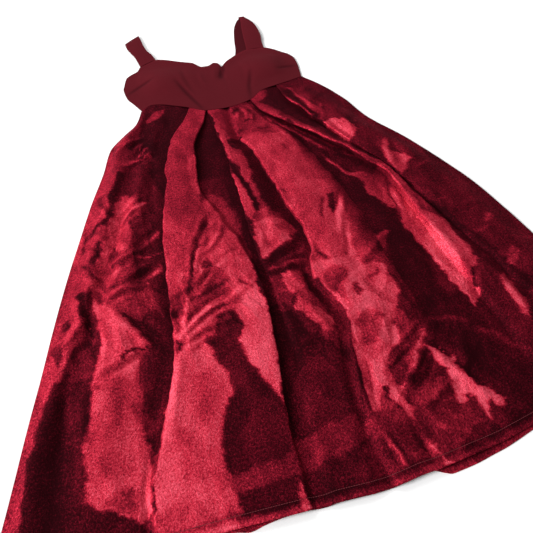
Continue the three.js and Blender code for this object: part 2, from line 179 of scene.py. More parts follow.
floor_mesh = bpy.data.meshes.new("Floor")
floor_corners = [(x * FLOOR_REACH, y * FLOOR_REACH, 0) for x, y in ((-1, -1), (1, -1), (1, 1), (-1, 1))]
floor_mesh.from_pydata(floor_corners, [], [(0, 1, 2, 3)])
floor = bpy.data.objects.new("Floor", floor_mesh)
floor_mesh.materials.append(floor_material())
bpy.context.collection.objects.link(floor)

# %% [markdown]
# Cloth here is a grid of points with a wall round it. The grid is the middle of the cloth; the wall
# is laid off to both sides along the grid's own normals, and the edges are closed, so that every
# piece is a thin solid as the real cloth is. A Solidify modifier could do this too. It is done here
# because the hem is thicker than the rest, and the hidden underside can have fewer points. Each point
# also keeps its place in the flat cloth, for the weave, and a few numbers that the materials read.

# %% A wall of cloth round a grid
SHARP_ANGLE = math.radians(60)


def grid_normals(grid):
    across = np.gradient(grid, axis=1)
    down = np.gradient(grid, axis=0)
    normal = np.cross(down, across)
    return normal / np.maximum(np.linalg.norm(normal, axis=2, keepdims=True), 1e-9)


def cloth_places(grid):
    """Distance across and down the cloth at each point, in metres."""
    across = np.linalg.norm(np.diff(grid, axis=1), axis=2)
    across = np.concatenate([np.zeros((len(grid), 1)), np.cumsum(across, axis=1)], axis=1)
    across -= across[:, across.shape[1] // 2][:, None]
    down = np.linalg.norm(np.diff(grid, axis=0), axis=2).mean(axis=1)
    down = np.concatenate([[0], np.cumsum(down)])
    return np.stack([across, np.repeat(down[:, None], grid.shape[1], 1), across * 0], 2) * METRE


def squares(grid):
    corners = [grid[:-1, :-1], grid[1:, :-1], grid[1:, 1:], grid[:-1, 1:]]
    return np.stack(corners, axis=-1).reshape(-1, 4).tolist()


def rim_faces(top, under, step):
    """Faces along one edge, each from step squares of the top to one square of the underside."""
    return [[*top[k * step:(k + 1) * step + 1][::-1], under[k], under[k + 1]]
            for k in range(len(under) - 1)]


def wall_faces(rows, columns, step):
    """The underside may have fewer points than the top: one in every step, both ways."""
    top = np.arange(rows * columns).reshape(rows, columns)
    kept = top[::step, ::step]
    under = np.arange(kept.size).reshape(kept.shape) + top.size
    faces = squares(top) + squares(under[:, ::-1])
    faces += rim_faces(top[0, ::-1], under[0, ::-1], step) + rim_faces(top[-1], under[-1], step)
    faces += rim_faces(top[:, 0], under[:, 0], step)
    faces += rim_faces(top[::-1, -1], under[::-1, -1], step)
    return kept.ravel(), faces


def cloth_piece(name, grid, wall, facts, material, step=1):
    """facts holds one number for each grid point under the name that the material reads."""
    kept, faces = wall_faces(*grid.shape[:2], step)
    half = grid_normals(grid) * np.asarray(wall, float).reshape(-1, 1, 1) / 2
    over, under = (grid + half).reshape(-1, 3), (grid - half).reshape(-1, 3)[kept]
    mesh = bpy.data.meshes.new(name)
    mesh.from_pydata(metres(np.concatenate([over, under])).tolist(), [], faces)
    place = cloth_places(grid).reshape(-1, 3)
    spot = mesh.attributes.new("cloth_place", "FLOAT_VECTOR", "POINT")
    spot.data.foreach_set("vector", np.concatenate([place, place[kept]]).astype(np.float32).ravel())
    for fact, values in facts.items():
        layer = mesh.attributes.new(fact, "FLOAT", "POINT")
        flat = values.reshape(-1)
        layer.data.foreach_set("value", np.concatenate([flat, flat[kept]]).astype(np.float32))
    mesh.shade_smooth()
    mesh.set_sharp_from_angle(angle=SHARP_ANGLE)
    mesh.materials.append(material)
    piece = bpy.data.objects.new(name, mesh)
    bpy.context.collection.objects.link(piece)
    mesh.calc_loop_triangles()
    print(name, grid.shape[0], "rows", grid.shape[1], "columns", len(mesh.loop_triangles), "triangles")
    return piece


print("a grid of 3 by 3 points has", len(wall_faces(3, 3, 1)[1]), "faces round its wall")

# %% [markdown]
# The front of the skirt is one wide panel, pressed into pleats at the waist, so its shape is a set
# of lines that run from the waist seam to the hem: sides, crests, hollows and pleat edges. Each line
# has its place and height at thirteen stations down the skirt. A pleat's edge also has a tuck, which
# is how far the cloth is folded back under it; a negative tuck is an open slope that wide. The last
# row of each line is the pile: how far it leans towards the light there, from 0 to 1. It is partly
# the velvet's own light and dark pile and partly painted sheen and painted shade: high where the
# cloth faces the light, low in hollows and on cloth that faces away. A cloth simulation would drape
# by itself, but it wouldn't put each pleat where this dress has it.

# %% Waist seam and stations
WAIST_X = [-177, -154, -131, -104, -77, -45, -2, 50, 92, 134, 174, 189]
WAIST_Y = [1, 11, 5, -10, -26, -47, -51, -41, -12, -3, 9, 15]
STATIONS = np.array([0, 0.05, 0.085, 0.13, 0.2, 0.3, 0.4, 0.5, 0.6, 0.7, 0.8, 0.9, 1])
SKIRT_FALL = 866
HEM_TURN = 0.98
SIDE_HEIGHT = [2.2] * len(STATIONS)


def waist_y(x):
    return along(WAIST_X, WAIST_Y, x)


def row_y(at_waist, at_hem, s):
    return -SKIRT_FALL * s + at_waist * (1 - s) ** 2 + (at_hem + SKIRT_FALL) * s**2


# %% Lines down the left of the skirt
# Each line: hem height, way its edge faces, places, heights, tucks, pile with painted sheen and shade
LEFT_LINES = [
    (-858, None,
     [-177, -195, -225, -258, -278, -312, -342, -371, -397, -421, -446, -470, -495],
     SIDE_HEIGHT, None,
     [0.3, 0.32, 0.4, 0.45, 0.5, 0.5, 0.5, 0.5, 0.55, 0.55, 0.5, 0.5, 0.5]),
    (-862, None,
     [-171, -184, -204, -233, -249, -276, -304, -332, -360, -390, -420, -446, -469],
     [3.2, 6, 9, 11, 12, 12, 12, 12, 11, 10, 10, 9, 7], None,
     [0.25, 0.25, 0.32, 0.4, 0.45, 0.5, 0.5, 0.5, 0.55, 0.55, 0.5, 0.45, 0.4]),
    (-866, None,
     [-160, -170, -180, -198, -216, -241, -271, -303, -334, -364, -391, -413, -431],
     [3.2, 4, 4.5, 4.5, 4, 4, 4, 5, 4.5, 4, 3.8, 3.6, 3.6], None,
     [0.15, 0.12, 0.12, 0.15, 0.2, 0.3, 0.4, 0.4, 0.35, 0.2, 0.12, 0.1, 0.1]),
    (-872, None,
     [-138, -150, -160, -174, -196, -226, -256, -282, -303, -322, -340, -352, -361],
     [3.8, 6, 7, 7, 7, 9, 11, 12, 12, 11, 10, 9, 7], None,
     [0.1, 0.08, 0.08, 0.1, 0.15, 0.4, 0.45, 0.5, 0.6, 0.7, 0.7, 0.65, 0.5]),
    (-878, None,
     [-104, -120, -134, -157, -180, -194, -212, -226, -238, -248, -274, -300, -316],
     [3.6, 3.6, 3.6, 3.4, 3.4, 3.4, 3.6, 3.8, 4, 4, 4, 4.4, 4.4], None,
     [0.05, 0.05, 0.05, 0.05, 0.08, 0.1, 0.2, 0.3, 0.3, 0.2, 0.35, 0.6, 0.6]),
]
LEFT_PLEATS = [
    (-881, "left",
     [-78, -97, -117, -139, -158, -173, -193, -205, -213, -223, -250, -280, -292],
     [6.4, 9, 11, 13, 15, 16, 16, 15, 13, 14, 12, 9, 7],
     [6, 12, 14, 14, 12, 10, 8, 5, 1, 3, -3, -10, -14],
     [0.3, 0.4, 0.5, 0.6, 0.62, 0.62, 0.62, 0.6, 0.6, 0.7, 0.7, 0.7, 0.6]),
    (-884, None,
     [-67, -80, -95, -113, -130, -143, -148, -146, -145, -152, -166, -184, -194],
     [6.4, 9, 11, 13.5, 15.5, 16.5, 16.5, 15, 14, 13, 11, 9, 7], None,
     [0.35, 0.5, 0.58, 0.62, 0.64, 0.64, 0.66, 0.7, 0.6, 0.5, 0.4, 0.4, 0.4]),
    (-889, "right",
     [-46.5, -60, -74, -89, -101, -110, -92, -71, -61, -68, -81, -93, -100],
     [6.4, 9, 11, 13, 14, 13, 12, 12, 14, 15, 14, 11, 8],
     [16, 18, 16, 13, 8, -6, -14, -10, -2, 3, 2, -4, -10],
     [0.5, 0.6, 0.64, 0.66, 0.66, 0.7, 0.7, 0.7, 0.7, 0.72, 0.6, 0.4, 0.3]),
    (-890, "left",
     [-42.5, -43, -42, -42, -40, -43, -46, -46, -40, -36, -42, -54, -62],
     [6.4, 9, 11, 12, 13, 12, 11, 10, 8, 7, 6, 6, 6],
     [15, 15, 13, 11, 10, 8, 5, 2, -4, -10, -14, -16, -16],
     [0.5, 0.55, 0.5, 0.45, 0.4, 0.3, 0.3, 0.2, 0.08, 0.05, 0.08, 0.2, 0.15]),
]
print(len(LEFT_LINES) + len(LEFT_PLEATS), "lines on the left")

# %% Lines down the middle and right of the skirt
MIDDLE_LINES = [
    (-893, None,
     [-19, -22, -23, -22, -17, -11, -7, -6, -1, 10, 4, -8, -15],
     [6.4, 8, 9, 10, 11, 11, 11, 9.5, 9, 9, 8, 7, 6], None,
     [0.45, 0.5, 0.5, 0.5, 0.45, 0.4, 0.45, 0.5, 0.45, 0.3, 0.15, 0.2, 0.15]),
    (-892, "left",
     [8, 7, 5, 4, 18, 26, 34, 48, 30, 46, 30, 20, 25],
     [6.4, 7.5, 8.5, 10, 12, 14, 14, 12, 10, 10, 9, 8, 7],
     [-8, -8, -8, -6, -3, 3, 1, -2, -4, -4, -6, -10, -12],
     [0.35, 0.35, 0.4, 0.5, 0.6, 0.66, 0.68, 0.66, 0.55, 0.5, 0.45, 0.35, 0.2]),
    (-889, None,
     [28, 34, 39, 46, 62, 68, 76, 86, 72, 84, 64, 52, 55],
     [6.4, 8.5, 10, 12, 14.5, 15.5, 15.5, 14, 12, 12.5, 11, 9, 7.5], None,
     [0.35, 0.4, 0.42, 0.5, 0.62, 0.66, 0.68, 0.7, 0.7, 0.7, 0.6, 0.45, 0.2]),
    (-888, None,
     [43, 52, 62, 78, 97, 106, 117, 121, 116, 128, 100, 84, 86],
     [5.4, 7.5, 9, 10.5, 12, 12, 11.5, 11, 10, 10, 9, 8, 7], None,
     [0.25, 0.3, 0.32, 0.35, 0.5, 0.55, 0.55, 0.5, 0.5, 0.3, 0.3, 0.4, 0.25]),
]
RIGHT_LINES = [
    (-878, None,
     [49, 59, 71, 92, 124, 150, 168, 180, 190, 190, 184, 180, 182],
     [3.4, 3.4, 3.4, 3.4, 3.4, 3.4, 3.6, 3.8, 4, 4, 4, 4.4, 4.4], None,
     [0.1, 0.08, 0.08, 0.08, 0.06, 0.05, 0.06, 0.08, 0.08, 0.1, 0.15, 0.2, 0.15]),
    (-858, "left",
     [55, 64, 78, 104, 149, 200, 240, 251, 262, 274, 284, 294, 302],
     [6.4, 10, 13, 15, 17, 17, 16, 15, 13, 12, 10, 8, 7],
     [16, 16, 14, 12, 10, 6, 1, -3, -8, -12, -14, -16, -16],
     [0.3, 0.45, 0.5, 0.5, 0.5, 0.5, 0.45, 0.4, 0.35, 0.25, 0.18, 0.18, 0.15]),
    (-851, None,
     [82, 92, 105, 126, 163, 211, 250, 268, 284, 302, 320, 336, 350],
     [6.4, 8.5, 10, 11.5, 13, 14, 13.5, 13, 12, 11, 10, 8, 7], None,
     [0.2, 0.2, 0.15, 0.15, 0.2, 0.25, 0.4, 0.45, 0.4, 0.3, 0.22, 0.18, 0.15]),
    (-843, "left",
     [124, 128, 137, 152, 178, 222, 260, 286, 312, 338, 358, 376, 393],
     [6.2, 9, 11, 12, 12, 11, 10, 10, 9, 8.5, 8, 7, 6],
     [9, 8, 7, 5, 1, -3, -3, -5, -6, -8, -10, -12, -14],
     [0.12, 0.2, 0.3, 0.3, 0.3, 0.3, 0.32, 0.32, 0.32, 0.3, 0.25, 0.2, 0.15]),
    (-832, None,
     [154, 170, 184, 202, 228, 274, 312, 338, 360, 382, 404, 424, 442],
     [4.4, 7, 9, 11, 12, 12, 11, 11, 10, 10, 9, 8, 6.5], None,
     [0.12, 0.22, 0.3, 0.32, 0.32, 0.32, 0.32, 0.32, 0.32, 0.3, 0.26, 0.22, 0.18]),
    (-820, None,
     [189, 219, 236, 253, 272, 320, 359, 391, 411, 428, 446, 466, 487],
     SIDE_HEIGHT, None,
     [0.2, 0.25, 0.28, 0.3, 0.3, 0.3, 0.3, 0.3, 0.3, 0.28, 0.25, 0.22, 0.2]),
]
LINES = LEFT_LINES + LEFT_PLEATS + MIDDLE_LINES + RIGHT_LINES
print(len(LINES), "lines in all")

# %% [markdown]
# A pressed pleat is an S in section: the cloth comes in low, turns back under the edge, and comes
# out again on top. Six points give the S, and a smooth curve through them gives the round folds.
# Where the pleat opens further down, the same six points become a plain slope, a little at a time.
# A fold could also be a sharp edge with a bevel, but that can't open into a slope.

# %% Section across a pleat's edge
EDGE_POINTS = 6
EDGE_FINE = 14
FOLD_ROUND, INNER_ROUND = 1.8, 1.6
TURN_SHARE, TURN_MOST = 0.3, 4
SLOPE_ACROSS = (-1, -0.8, -0.58, -0.32, -0.1)
SLOPE_UP = (0, 0.12, 0.36, 0.7, 0.93, 1)
SLOPE_CREST, SLOPE_LEAST = 2.4, 3


def pleat_section(tuck, high):
    """Places across and heights of the six points, and how folded the pleat is, from 0 to 1."""
    rise = high - FRONT_LOW
    turn = np.clip(TURN_SHARE * rise, LAYER_STEP, TURN_MOST)
    back = np.maximum(tuck, FOLD_ROUND)
    inner = back - INNER_ROUND
    out = np.maximum(-tuck, SLOPE_LEAST)
    zero = np.zeros_like(high)
    folded_x = [inner, back, inner, zero + FOLD_ROUND, zero, zero + FOLD_ROUND]
    folded_z = [zero + FRONT_LOW, zero + FRONT_LOW + LAYER_STEP / 2,
                zero + FRONT_LOW + LAYER_STEP, high - turn, high - turn / 2, high]
    sloped_x = [part * out for part in SLOPE_ACROSS] + [zero + SLOPE_CREST]
    sloped_z = [FRONT_LOW + part * rise for part in SLOPE_UP]
    blend = ease((tuck + SLOPE_LEAST) / (2 * SLOPE_LEAST))
    across = [mix(b, a, blend) for a, b in zip(folded_x, sloped_x)]
    height = [mix(b, a, blend) for a, b in zip(folded_z, sloped_z)]
    return np.stack(across, 1), np.stack(height, 1), blend


def finer(values):
    """Six values across each edge become fourteen, on a smooth curve through them."""
    last = EDGE_POINTS - 1
    at = np.linspace(0, last, EDGE_FINE)
    i = np.minimum(at.astype(int), last - 1)
    t = at - i
    before, start = values[:, np.maximum(i - 1, 0)], values[:, i]
    end, after = values[:, i + 1], values[:, np.minimum(i + 2, last)]
    return 0.5 * (
        2 * start
        + (end - before) * t
        + (2 * before - 5 * start + 4 * end - after) * t**2
        + (3 * start - before - 3 * end + after) * t**3
    )


print("a section has", finer(np.zeros((1, EDGE_POINTS))).shape[1], "points")

# %% [markdown]
# Cloth that has been folded and worn is never quite even. This helper gives a soft, seeded
# unevenness of a chosen grain, between -1 and 1, so that edges and heights can wander a little. A
# Displace modifier could do it after the mesh is made, but here the creases and the pile can follow.

# %% Unevenness
# Each wander of an edge: how far it goes, its grain along the fold, and its seed
EDGE_WANDERS = [(3.2, 33, 21), (1.8, 12, 22)]
FIRM_AT_WAIST, FIRM_AT_HEM = 0.15, 0.08
TABLE_SIDE = 160


def uneven(x, y, grain, seed):
    random = np.random.default_rng(seed)
    table = random.uniform(-1, 1, (TABLE_SIDE, TABLE_SIDE))
    u, v = x / grain + TABLE_SIDE / 2, y / grain + TABLE_SIDE / 2
    i, j = (np.floor(place).astype(int) % (TABLE_SIDE - 1) for place in (u, v))
    a, b = ease(u - np.floor(u)), ease(v - np.floor(v))
    low_side = mix(table[i, j], table[i + 1, j], a)
    return mix(low_side, mix(table[i, j + 1], table[i + 1, j + 1], a), b)


def edge_wander(number, s):
    """How far a fold strays to one side of its line, in millimetres: none at the waist and hem."""
    loose = ease(s / FIRM_AT_WAIST) * ease((1 - s) / FIRM_AT_HEM)
    down, row = s * SKIRT_FALL, 97.0 * number + 0 * s
    return loose * sum(far * uneven(down, row, grain, seed) for far, grain, seed in EDGE_WANDERS)


print("how far the second line strays", edge_wander(1, STATIONS).round(1))

# %% [markdown]
# A line becomes one column of the grid, or fourteen across a pleat's edge. Every column keeps, for
# each row: place, height, place at the waist, hem height, pile with its painted sheen and shade, how
# much of a crease it may take, which is nothing for cloth that is folded away under an edge, and its
# number among the lines, with halves for the folded side. Curves could hold the places, but not all
# of these facts side by side.

# %% Columns of one line
PLACE, HEIGHT, AT_WAIST, AT_HEM, PILE_AND_PAINTED_LIGHT, FREE, COUNTED = range(7)
# Painted shade at the foot of a pleat's edge: the share of the pile's lean kept there, where the pleat is
# open and where it is folded.
FOOT_PAINTED_SHADE_OPEN, FOOT_PAINTED_SHADE_FOLDED = 0.45, 0.12


def line_columns(number, s):
    hem, turned, places, heights, tucks, pile_and_painted_light = LINES[number]
    x, z = along(STATIONS, places, s), along(STATIONS, heights, s)
    if 0 < number < len(LINES) - 1:
        x = x + edge_wander(number, s)
    lean = along(STATIONS, pile_and_painted_light, s)
    same = np.ones_like(s)
    if turned is None:
        return np.stack([x, z, same * places[0], same * hem, lean, same, same * number], 1)[:, None]
    across, height, blend = pleat_section(along(STATIONS, tucks, s), z)
    across, height = finer(across), finer(height)
    side = 1 if turned == "left" else -1
    top = np.linspace(0, 1, EDGE_FINE) ** 2
    free = mix(same[:, None], top[None], blend[:, None])
    # Painted shade: the lean falls towards the foot of the edge, in the hollow under it.
    foot_lean_with_painted_shade = lean * mix(FOOT_PAINTED_SHADE_OPEN, FOOT_PAINTED_SHADE_FOLDED, blend)
    lean = mix(foot_lean_with_painted_shade[:, None], lean[:, None], top[None])
    wide = np.ones_like(across)
    counted = number - side * 0.5 * (1 - top[None]) * wide
    columns = np.stack([x[:, None] + side * across, height, places[0] + side * across,
                        hem * wide, lean, free, counted], 2)
    return columns if side == 1 else columns[:, ::-1]


for number, kind in ((0, "side"), (len(LEFT_LINES), "pleat's edge")):
    print("columns of a", kind, line_columns(number, STATIONS).shape[1])

# %% [markdown]
# Between two lines the cloth rises and falls in an even curve. The number of columns in each gap
# follows its mean width, so that a wide gap is no coarser than a narrow one. Lofting a surface over
# curves would look much the same, but its columns couldn't be told apart afterwards.

# %% All columns of the front
COLUMN_WIDTH = 2.9
FRONT_ROWS = np.concatenate([np.linspace(0, 0.2, 67)[:-1], np.linspace(0.2, 0.97, 205)[:-1],
                             np.linspace(0.97, 1, 10)])
UNDER_STEP = 3


def columns_between(left, right):
    gap = np.mean(right[:, PLACE] - left[:, PLACE])
    count = max(3, int(round(gap / COLUMN_WIDTH)))
    for step in range(1, count):
        t = step / count
        column = mix(left, right, t)
        for kind in (HEIGHT, PILE_AND_PAINTED_LIGHT):
            column[:, kind] = mix(left[:, kind], right[:, kind], ease(t))
        yield column[:, None]


def skirt_columns(s):
    """All columns, less the few at the right that would not fit whole squares of the underside."""
    made = []
    for number in range(len(LINES)):
        columns = line_columns(number, s)
        if made:
            made.extend(columns_between(made[-1][:, -1], columns[:, 0]))
        made.append(columns)
    made = np.concatenate(made, axis=1)
    spare = (made.shape[1] - 1) % UNDER_STEP
    return np.delete(made, [-2 - 3 * k for k in range(spare)], axis=1)


front_columns = np.moveaxis(skirt_columns(FRONT_ROWS), 2, 0)
front_y = row_y(waist_y(front_columns[AT_WAIST]), front_columns[AT_HEM], FRONT_ROWS[:, None])
front_grid = np.stack([front_columns[PLACE], front_y, front_columns[HEIGHT]], 2)
print("front grid", front_grid.shape)

# %% [markdown]
# Thin velvet doesn't lie smooth. Around the knees of the pleats it has sharp little creases, and the
# lower skirt has a knot of them. Each crease here is a soft stroke: a path on the cloth, how wide it
# is, and how far it rises or, if negative, sinks. A stroke fades out at both ends. They differ in
# length, depth and distance apart, and keep off cloth that is folded away. A sculpting brush would
# make such creases too, but a written stroke can be read, moved and made again.

# %% Distance to a stroke
PINCH_WIDTH, PINCH_ROUND = 1.9, 1.3


def segment_distance(x, y, a, b):
    """How far each point is from the straight line a to b, and the share of the line before it."""
    dx, dy = b - a
    t = np.clip(((x - a[0]) * dx + (y - a[1]) * dy) / (dx * dx + dy * dy), 0, 1)
    return np.hypot(x - a[0] - t * dx, y - a[1] - t * dy), t


def stroke_distance(x, y, path):
    """How far each point is from a path, and how far along the path it is, from 0 to 1."""
    path = np.asarray(path, float)
    lengths = np.linalg.norm(np.diff(path, axis=0), axis=1)
    starts = np.concatenate([[0], np.cumsum(lengths)])
    nearest, place = np.full(x.shape, 1e9), np.zeros(x.shape)
    for k, (a, b) in enumerate(zip(path[:-1], path[1:])):
        far, t = segment_distance(x, y, a, b)
        closer = far < nearest
        nearest = np.where(closer, far, nearest)
        place = np.where(closer, (starts[k] + t * lengths[k]) / starts[-1], place)
    return nearest, place


def creased(x, y, creases, sharp=0.0):
    """Height of all creases. sharp goes from 0, a soft wave, to 1, a pinched crease with flat sides."""
    height = np.zeros(x.shape)
    for rise, width, path in creases:
        far, place = stroke_distance(x, y, path)
        fade = np.sqrt(np.clip(np.sin(np.pi * np.clip(place, 0.02, 0.98)), 0, 1))
        pinched = np.clip(1 - far / (PINCH_WIDTH * width), 0, 1) ** PINCH_ROUND
        height += rise * fade * mix(bell(far, width), pinched, sharp)
    return height


print("5 mm from a stroke's middle:", stroke_distance(np.zeros(1), 5 + np.zeros(1), [(-9, 0), (9, 0)]))

# %% Creases of the front: rise, width, path
LEFT_CREASES = [
    (2.0, 4, [(-300, -262), (-284, -300), (-262, -322)]),
    (-2.0, 5, [(-292, -258), (-270, -296), (-250, -310)]),
    (2.2, 4, [(-262, -322), (-240, -300), (-214, -288)]),
    (-1.8, 5, [(-308, -356), (-284, -372), (-262, -398)]),
    (2.0, 4, [(-322, -404), (-296, -418), (-262, -404), (-240, -392)]),
    (-2.2, 5, [(-318, -418), (-292, -432), (-262, -420)]),
    (1.8, 4, [(-336, -440), (-316, -456), (-300, -486)]),
    (2.4, 4, [(-300, -482), (-276, -470), (-246, -476), (-224, -496)]),
    (-2.2, 5, [(-304, -494), (-278, -484), (-252, -490)]),
    (2.0, 4, [(-352, -520), (-372, -548), (-392, -560)]),
    (-1.8, 4, [(-360, -508), (-378, -534), (-396, -546)]),
    (-1.6, 5, [(-234, -520), (-226, -548), (-212, -566)]),
    (1.6, 4, [(-232, -112), (-210, -100), (-188, -96)]),
    (-1.4, 4, [(-224, -122), (-203, -110), (-184, -106)]),
    (1.8, 4, [(-226, -164), (-203, -154), (-176, -148)]),
    (-1.6, 5, [(-222, -176), (-200, -166), (-176, -160)]),
    (1.5, 5, [(-214, -138), (-200, -122), (-186, -118)]),
    (-1.6, 6, [(-252, -392), (-226, -366), (-198, -346)]),
    (1.4, 5, [(-246, -404), (-222, -380), (-200, -362)]),
    (1.8, 6, [(-318, -330), (-300, -352), (-288, -384)]),
    (-2.0, 6, [(-330, -352), (-312, -372), (-302, -404)]),
    (1.6, 5, [(-262, -300), (-244, -282), (-216, -268)]),
    (-1.5, 6, [(-276, -336), (-250, -330), (-222, -316)]),
    (2.0, 7, [(-304, -438), (-272, -452), (-238, -432), (-204, -426)]),
    (-2.2, 7, [(-262, -458), (-232, -446), (-206, -444)]),
    (2.2, 7, [(-356, -462), (-350, -510), (-344, -556)]),
    (-3.0, 8, [(-344, -466), (-340, -520), (-334, -590)]),
    (2.2, 7, [(-326, -470), (-322, -530), (-318, -580)]),
    (2.0, 5, [(-346, -618), (-306, -606), (-254, -585)]),
    (-1.8, 5, [(-340, -630), (-300, -618), (-262, -600)]),
    (2.4, 6, [(-306, -508), (-282, -548), (-252, -588)]),
    (-3.2, 9, [(-282, -506), (-252, -552), (-224, -602)]),
    (2.4, 7, [(-236, -500), (-222, -540), (-210, -588)]),
    (-2.6, 7, [(-203, -498), (-204, -534), (-200, -566)]),
    (-3.4, 10, [(-226, -604), (-246, -660), (-270, -724), (-280, -768)]),
    (2.2, 8, [(-212, -622), (-226, -670), (-246, -730)]),
    (1.2, 4, [(-290, -796), (-291, -824), (-288, -850)]),
    (-2.0, 8, [(-384, -566), (-388, -640), (-396, -720), (-410, -800)]),
    (2.0, 8, [(-362, -640), (-368, -720), (-374, -800)]),
]
KNOT_CREASES = [
    (2.4, 4, [(-196, -540), (-176, -506), (-166, -470), (-160, -440)]),
    (2.2, 4, [(-196, -600), (-160, -586), (-120, -586)]),
    (2.0, 4, [(-150, -446), (-122, -432), (-100, -404), (-92, -380)]),
    (2.4, 5, [(-214, -604), (-186, -574), (-150, -556), (-108, -546)]),
    (-2.4, 5, [(-208, -596), (-180, -562), (-150, -542), (-112, -528)]),
    (2.2, 5, [(-204, -590), (-182, -548), (-160, -518), (-128, -486)]),
    (-2.0, 5, [(-196, -574), (-176, -536), (-152, -506), (-128, -474)]),
    (1.8, 4, [(-198, -566), (-184, -530), (-178, -492)]),
    (-1.8, 5, [(-200, -610), (-172, -600), (-140, -602)]),
    (1.8, 5, [(-206, -618), (-180, -612), (-152, -618)]),
    (-1.6, 6, [(-146, -430), (-126, -392), (-104, -352)]),
    (1.4, 5, [(-154, -420), (-136, -388), (-116, -352)]),
    (-1.4, 5, [(-130, -476), (-104, -456), (-76, -448)]),
    (1.6, 6, [(-170, -500), (-136, -478), (-96, -470)]),
    (-1.6, 7, [(-86, -516), (-116, -536), (-140, -562)]),
]
MIDDLE_CREASES = [
    (1.5, 4, [(-42, -506), (-12, -503), (26, -499)]),
    (-2.0, 6, [(-40, -494), (-4, -482), (38, -466)]),
    (1.8, 6, [(-40, -478), (0, -462), (34, -444)]),
    (-1.5, 5, [(-36, -516), (-6, -514), (24, -512)]),
    (1.8, 6, [(-26, -524), (-12, -566), (6, -612), (20, -650)]),
    (-2.2, 7, [(14, -512), (26, -562), (44, -612)]),
    (-1.8, 7, [(-40, -560), (-26, -600), (-10, -660)]),
    (1.3, 4, [(-34, -390), (-28, -420), (-34, -450)]),
    (1.2, 4, [(6, -58), (18, -78), (12, -104)]),
    (-1.2, 4, [(18, -56), (30, -80), (24, -108)]),
    (1.2, 4, [(34, -66), (44, -90), (40, -118)]),
    (-1.2, 5, [(2, -112), (34, -126), (66, -124)]),
    (1.1, 5, [(0, -136), (30, -146), (62, -142)]),
    (-2.2, 5, [(110, -412), (122, -396), (134, -368)]),
    (1.8, 5, [(118, -432), (130, -404), (138, -380)]),
    (1.8, 5, [(100, -470), (112, -440), (118, -410)]),
    (-1.8, 5, [(96, -520), (106, -490), (112, -460)]),
    (-1.6, 5, [(50, -478), (56, -494), (62, -512)]),
    (2.0, 7, [(106, -542), (142, -512), (188, -474)]),
    (-2.0, 7, [(96, -552), (70, -560), (44, -586)]),
    (2.2, 8, [(92, -560), (100, -600), (94, -640)]),
    (-1.8, 6, [(60, -640), (86, -650), (116, -644)]),
    (-2.0, 7, [(128, -640), (108, -672), (92, -706)]),
    (2.0, 6, [(34, -700), (26, -740), (12, -784)]),
    (-1.8, 5, [(52, -700), (46, -740), (34, -780)]),
]
RIGHT_CREASES = [
    (2.4, 5, [(64, -722), (96, -706), (130, -684), (154, -668)]),
    (-2.2, 5, [(72, -740), (104, -722), (136, -702)]),
    (2.4, 5, [(88, -768), (114, -742), (142, -716), (160, -700)]),
    (-2.2, 5, [(104, -776), (128, -756), (150, -734)]),
    (2.2, 5, [(68, -758), (74, -782), (84, -812)]),
    (2.6, 6, [(144, -708), (160, -738), (172, -766), (192, -800)]),
    (-2.4, 6, [(156, -706), (176, -734), (188, -764)]),
    (2.0, 5, [(174, -742), (186, -752), (180, -768)]),
    (1.8, 4, [(120, -792), (146, -780), (168, -772)]),
    (-1.8, 5, [(112, -806), (140, -796), (170, -792)]),
    (1.8, 5, [(182, -790), (196, -812), (214, -832)]),
    (1.4, 4, [(30, -822), (38, -846), (40, -880)]),
    (1.8, 5, [(82, -822), (86, -846), (90, -880)]),
    (-1.8, 5, [(70, -820), (74, -846), (76, -880)]),
    (1.2, 4, [(110, -826), (124, -850), (136, -876)]),
    (1.8, 4, [(136, -70), (150, -108), (166, -150)]),
    (-1.8, 5, [(148, -66), (162, -104), (178, -142)]),
    (1.6, 4, [(160, -62), (174, -98), (188, -130)]),
    (-1.8, 6, [(188, -158), (200, -196), (222, -232)]),
    (2.0, 7, [(216, -150), (226, -188), (222, -222)]),
    (2.0, 6, [(262, -258), (266, -292), (262, -330)]),
    (-1.6, 6, [(282, -260), (286, -294), (280, -330)]),
    (1.3, 5, [(284, -330), (300, -322), (314, -318)]),
    (-2.0, 6, [(206, -350), (220, -398), (224, -450)]),
    (2.0, 6, [(238, -340), (240, -392), (232, -446)]),
    (1.8, 5, [(226, -478), (254, -488), (292, -492)]),
    (-2.0, 6, [(224, -494), (228, -540), (240, -600)]),
    (2.2, 8, [(262, -500), (272, -556), (262, -640)]),
    (-1.6, 5, [(284, -600), (272, -630), (262, -664)]),
    (2.0, 6, [(318, -628), (324, -676), (314, -724)]),
    (1.2, 5, [(330, -470), (348, -464), (370, -466)]),
    (1.2, 5, [(340, -600), (356, -588), (376, -580)]),
    (-1.4, 6, [(226, -664), (262, -690), (300, -700)]),
    (1.4, 6, [(206, -680), (236, -700), (262, -724)]),
    (1.2, 6, [(232, -784), (262, -800), (290, -806)]),
]
FRONT_CREASES = LEFT_CREASES + KNOT_CREASES + MIDDLE_CREASES + RIGHT_CREASES
print(len(FRONT_CREASES), "creases laid by hand")

# %% Creases and unevenness laid on the front
# The groove is where the topstitching pulls the hem in.
CREASE_SHARP = 0.8
LOWEST_FRONT = 2.2
FRONT_UNEVEN = [(0.7, 31, 5), (0.35, 14, 6)]
STITCHES_ABOVE_HEM, GROOVE_DEPTH, GROOVE_WIDTH = 13, 0.5, 3


def lay_on_front(rise):
    """Raises or sinks the front's cloth, but keeps it off the back's."""
    room = (LOWEST_FRONT - front_grid[:, :, 2]) * 0.8
    front_grid[:, :, 2] += np.maximum(rise, room)


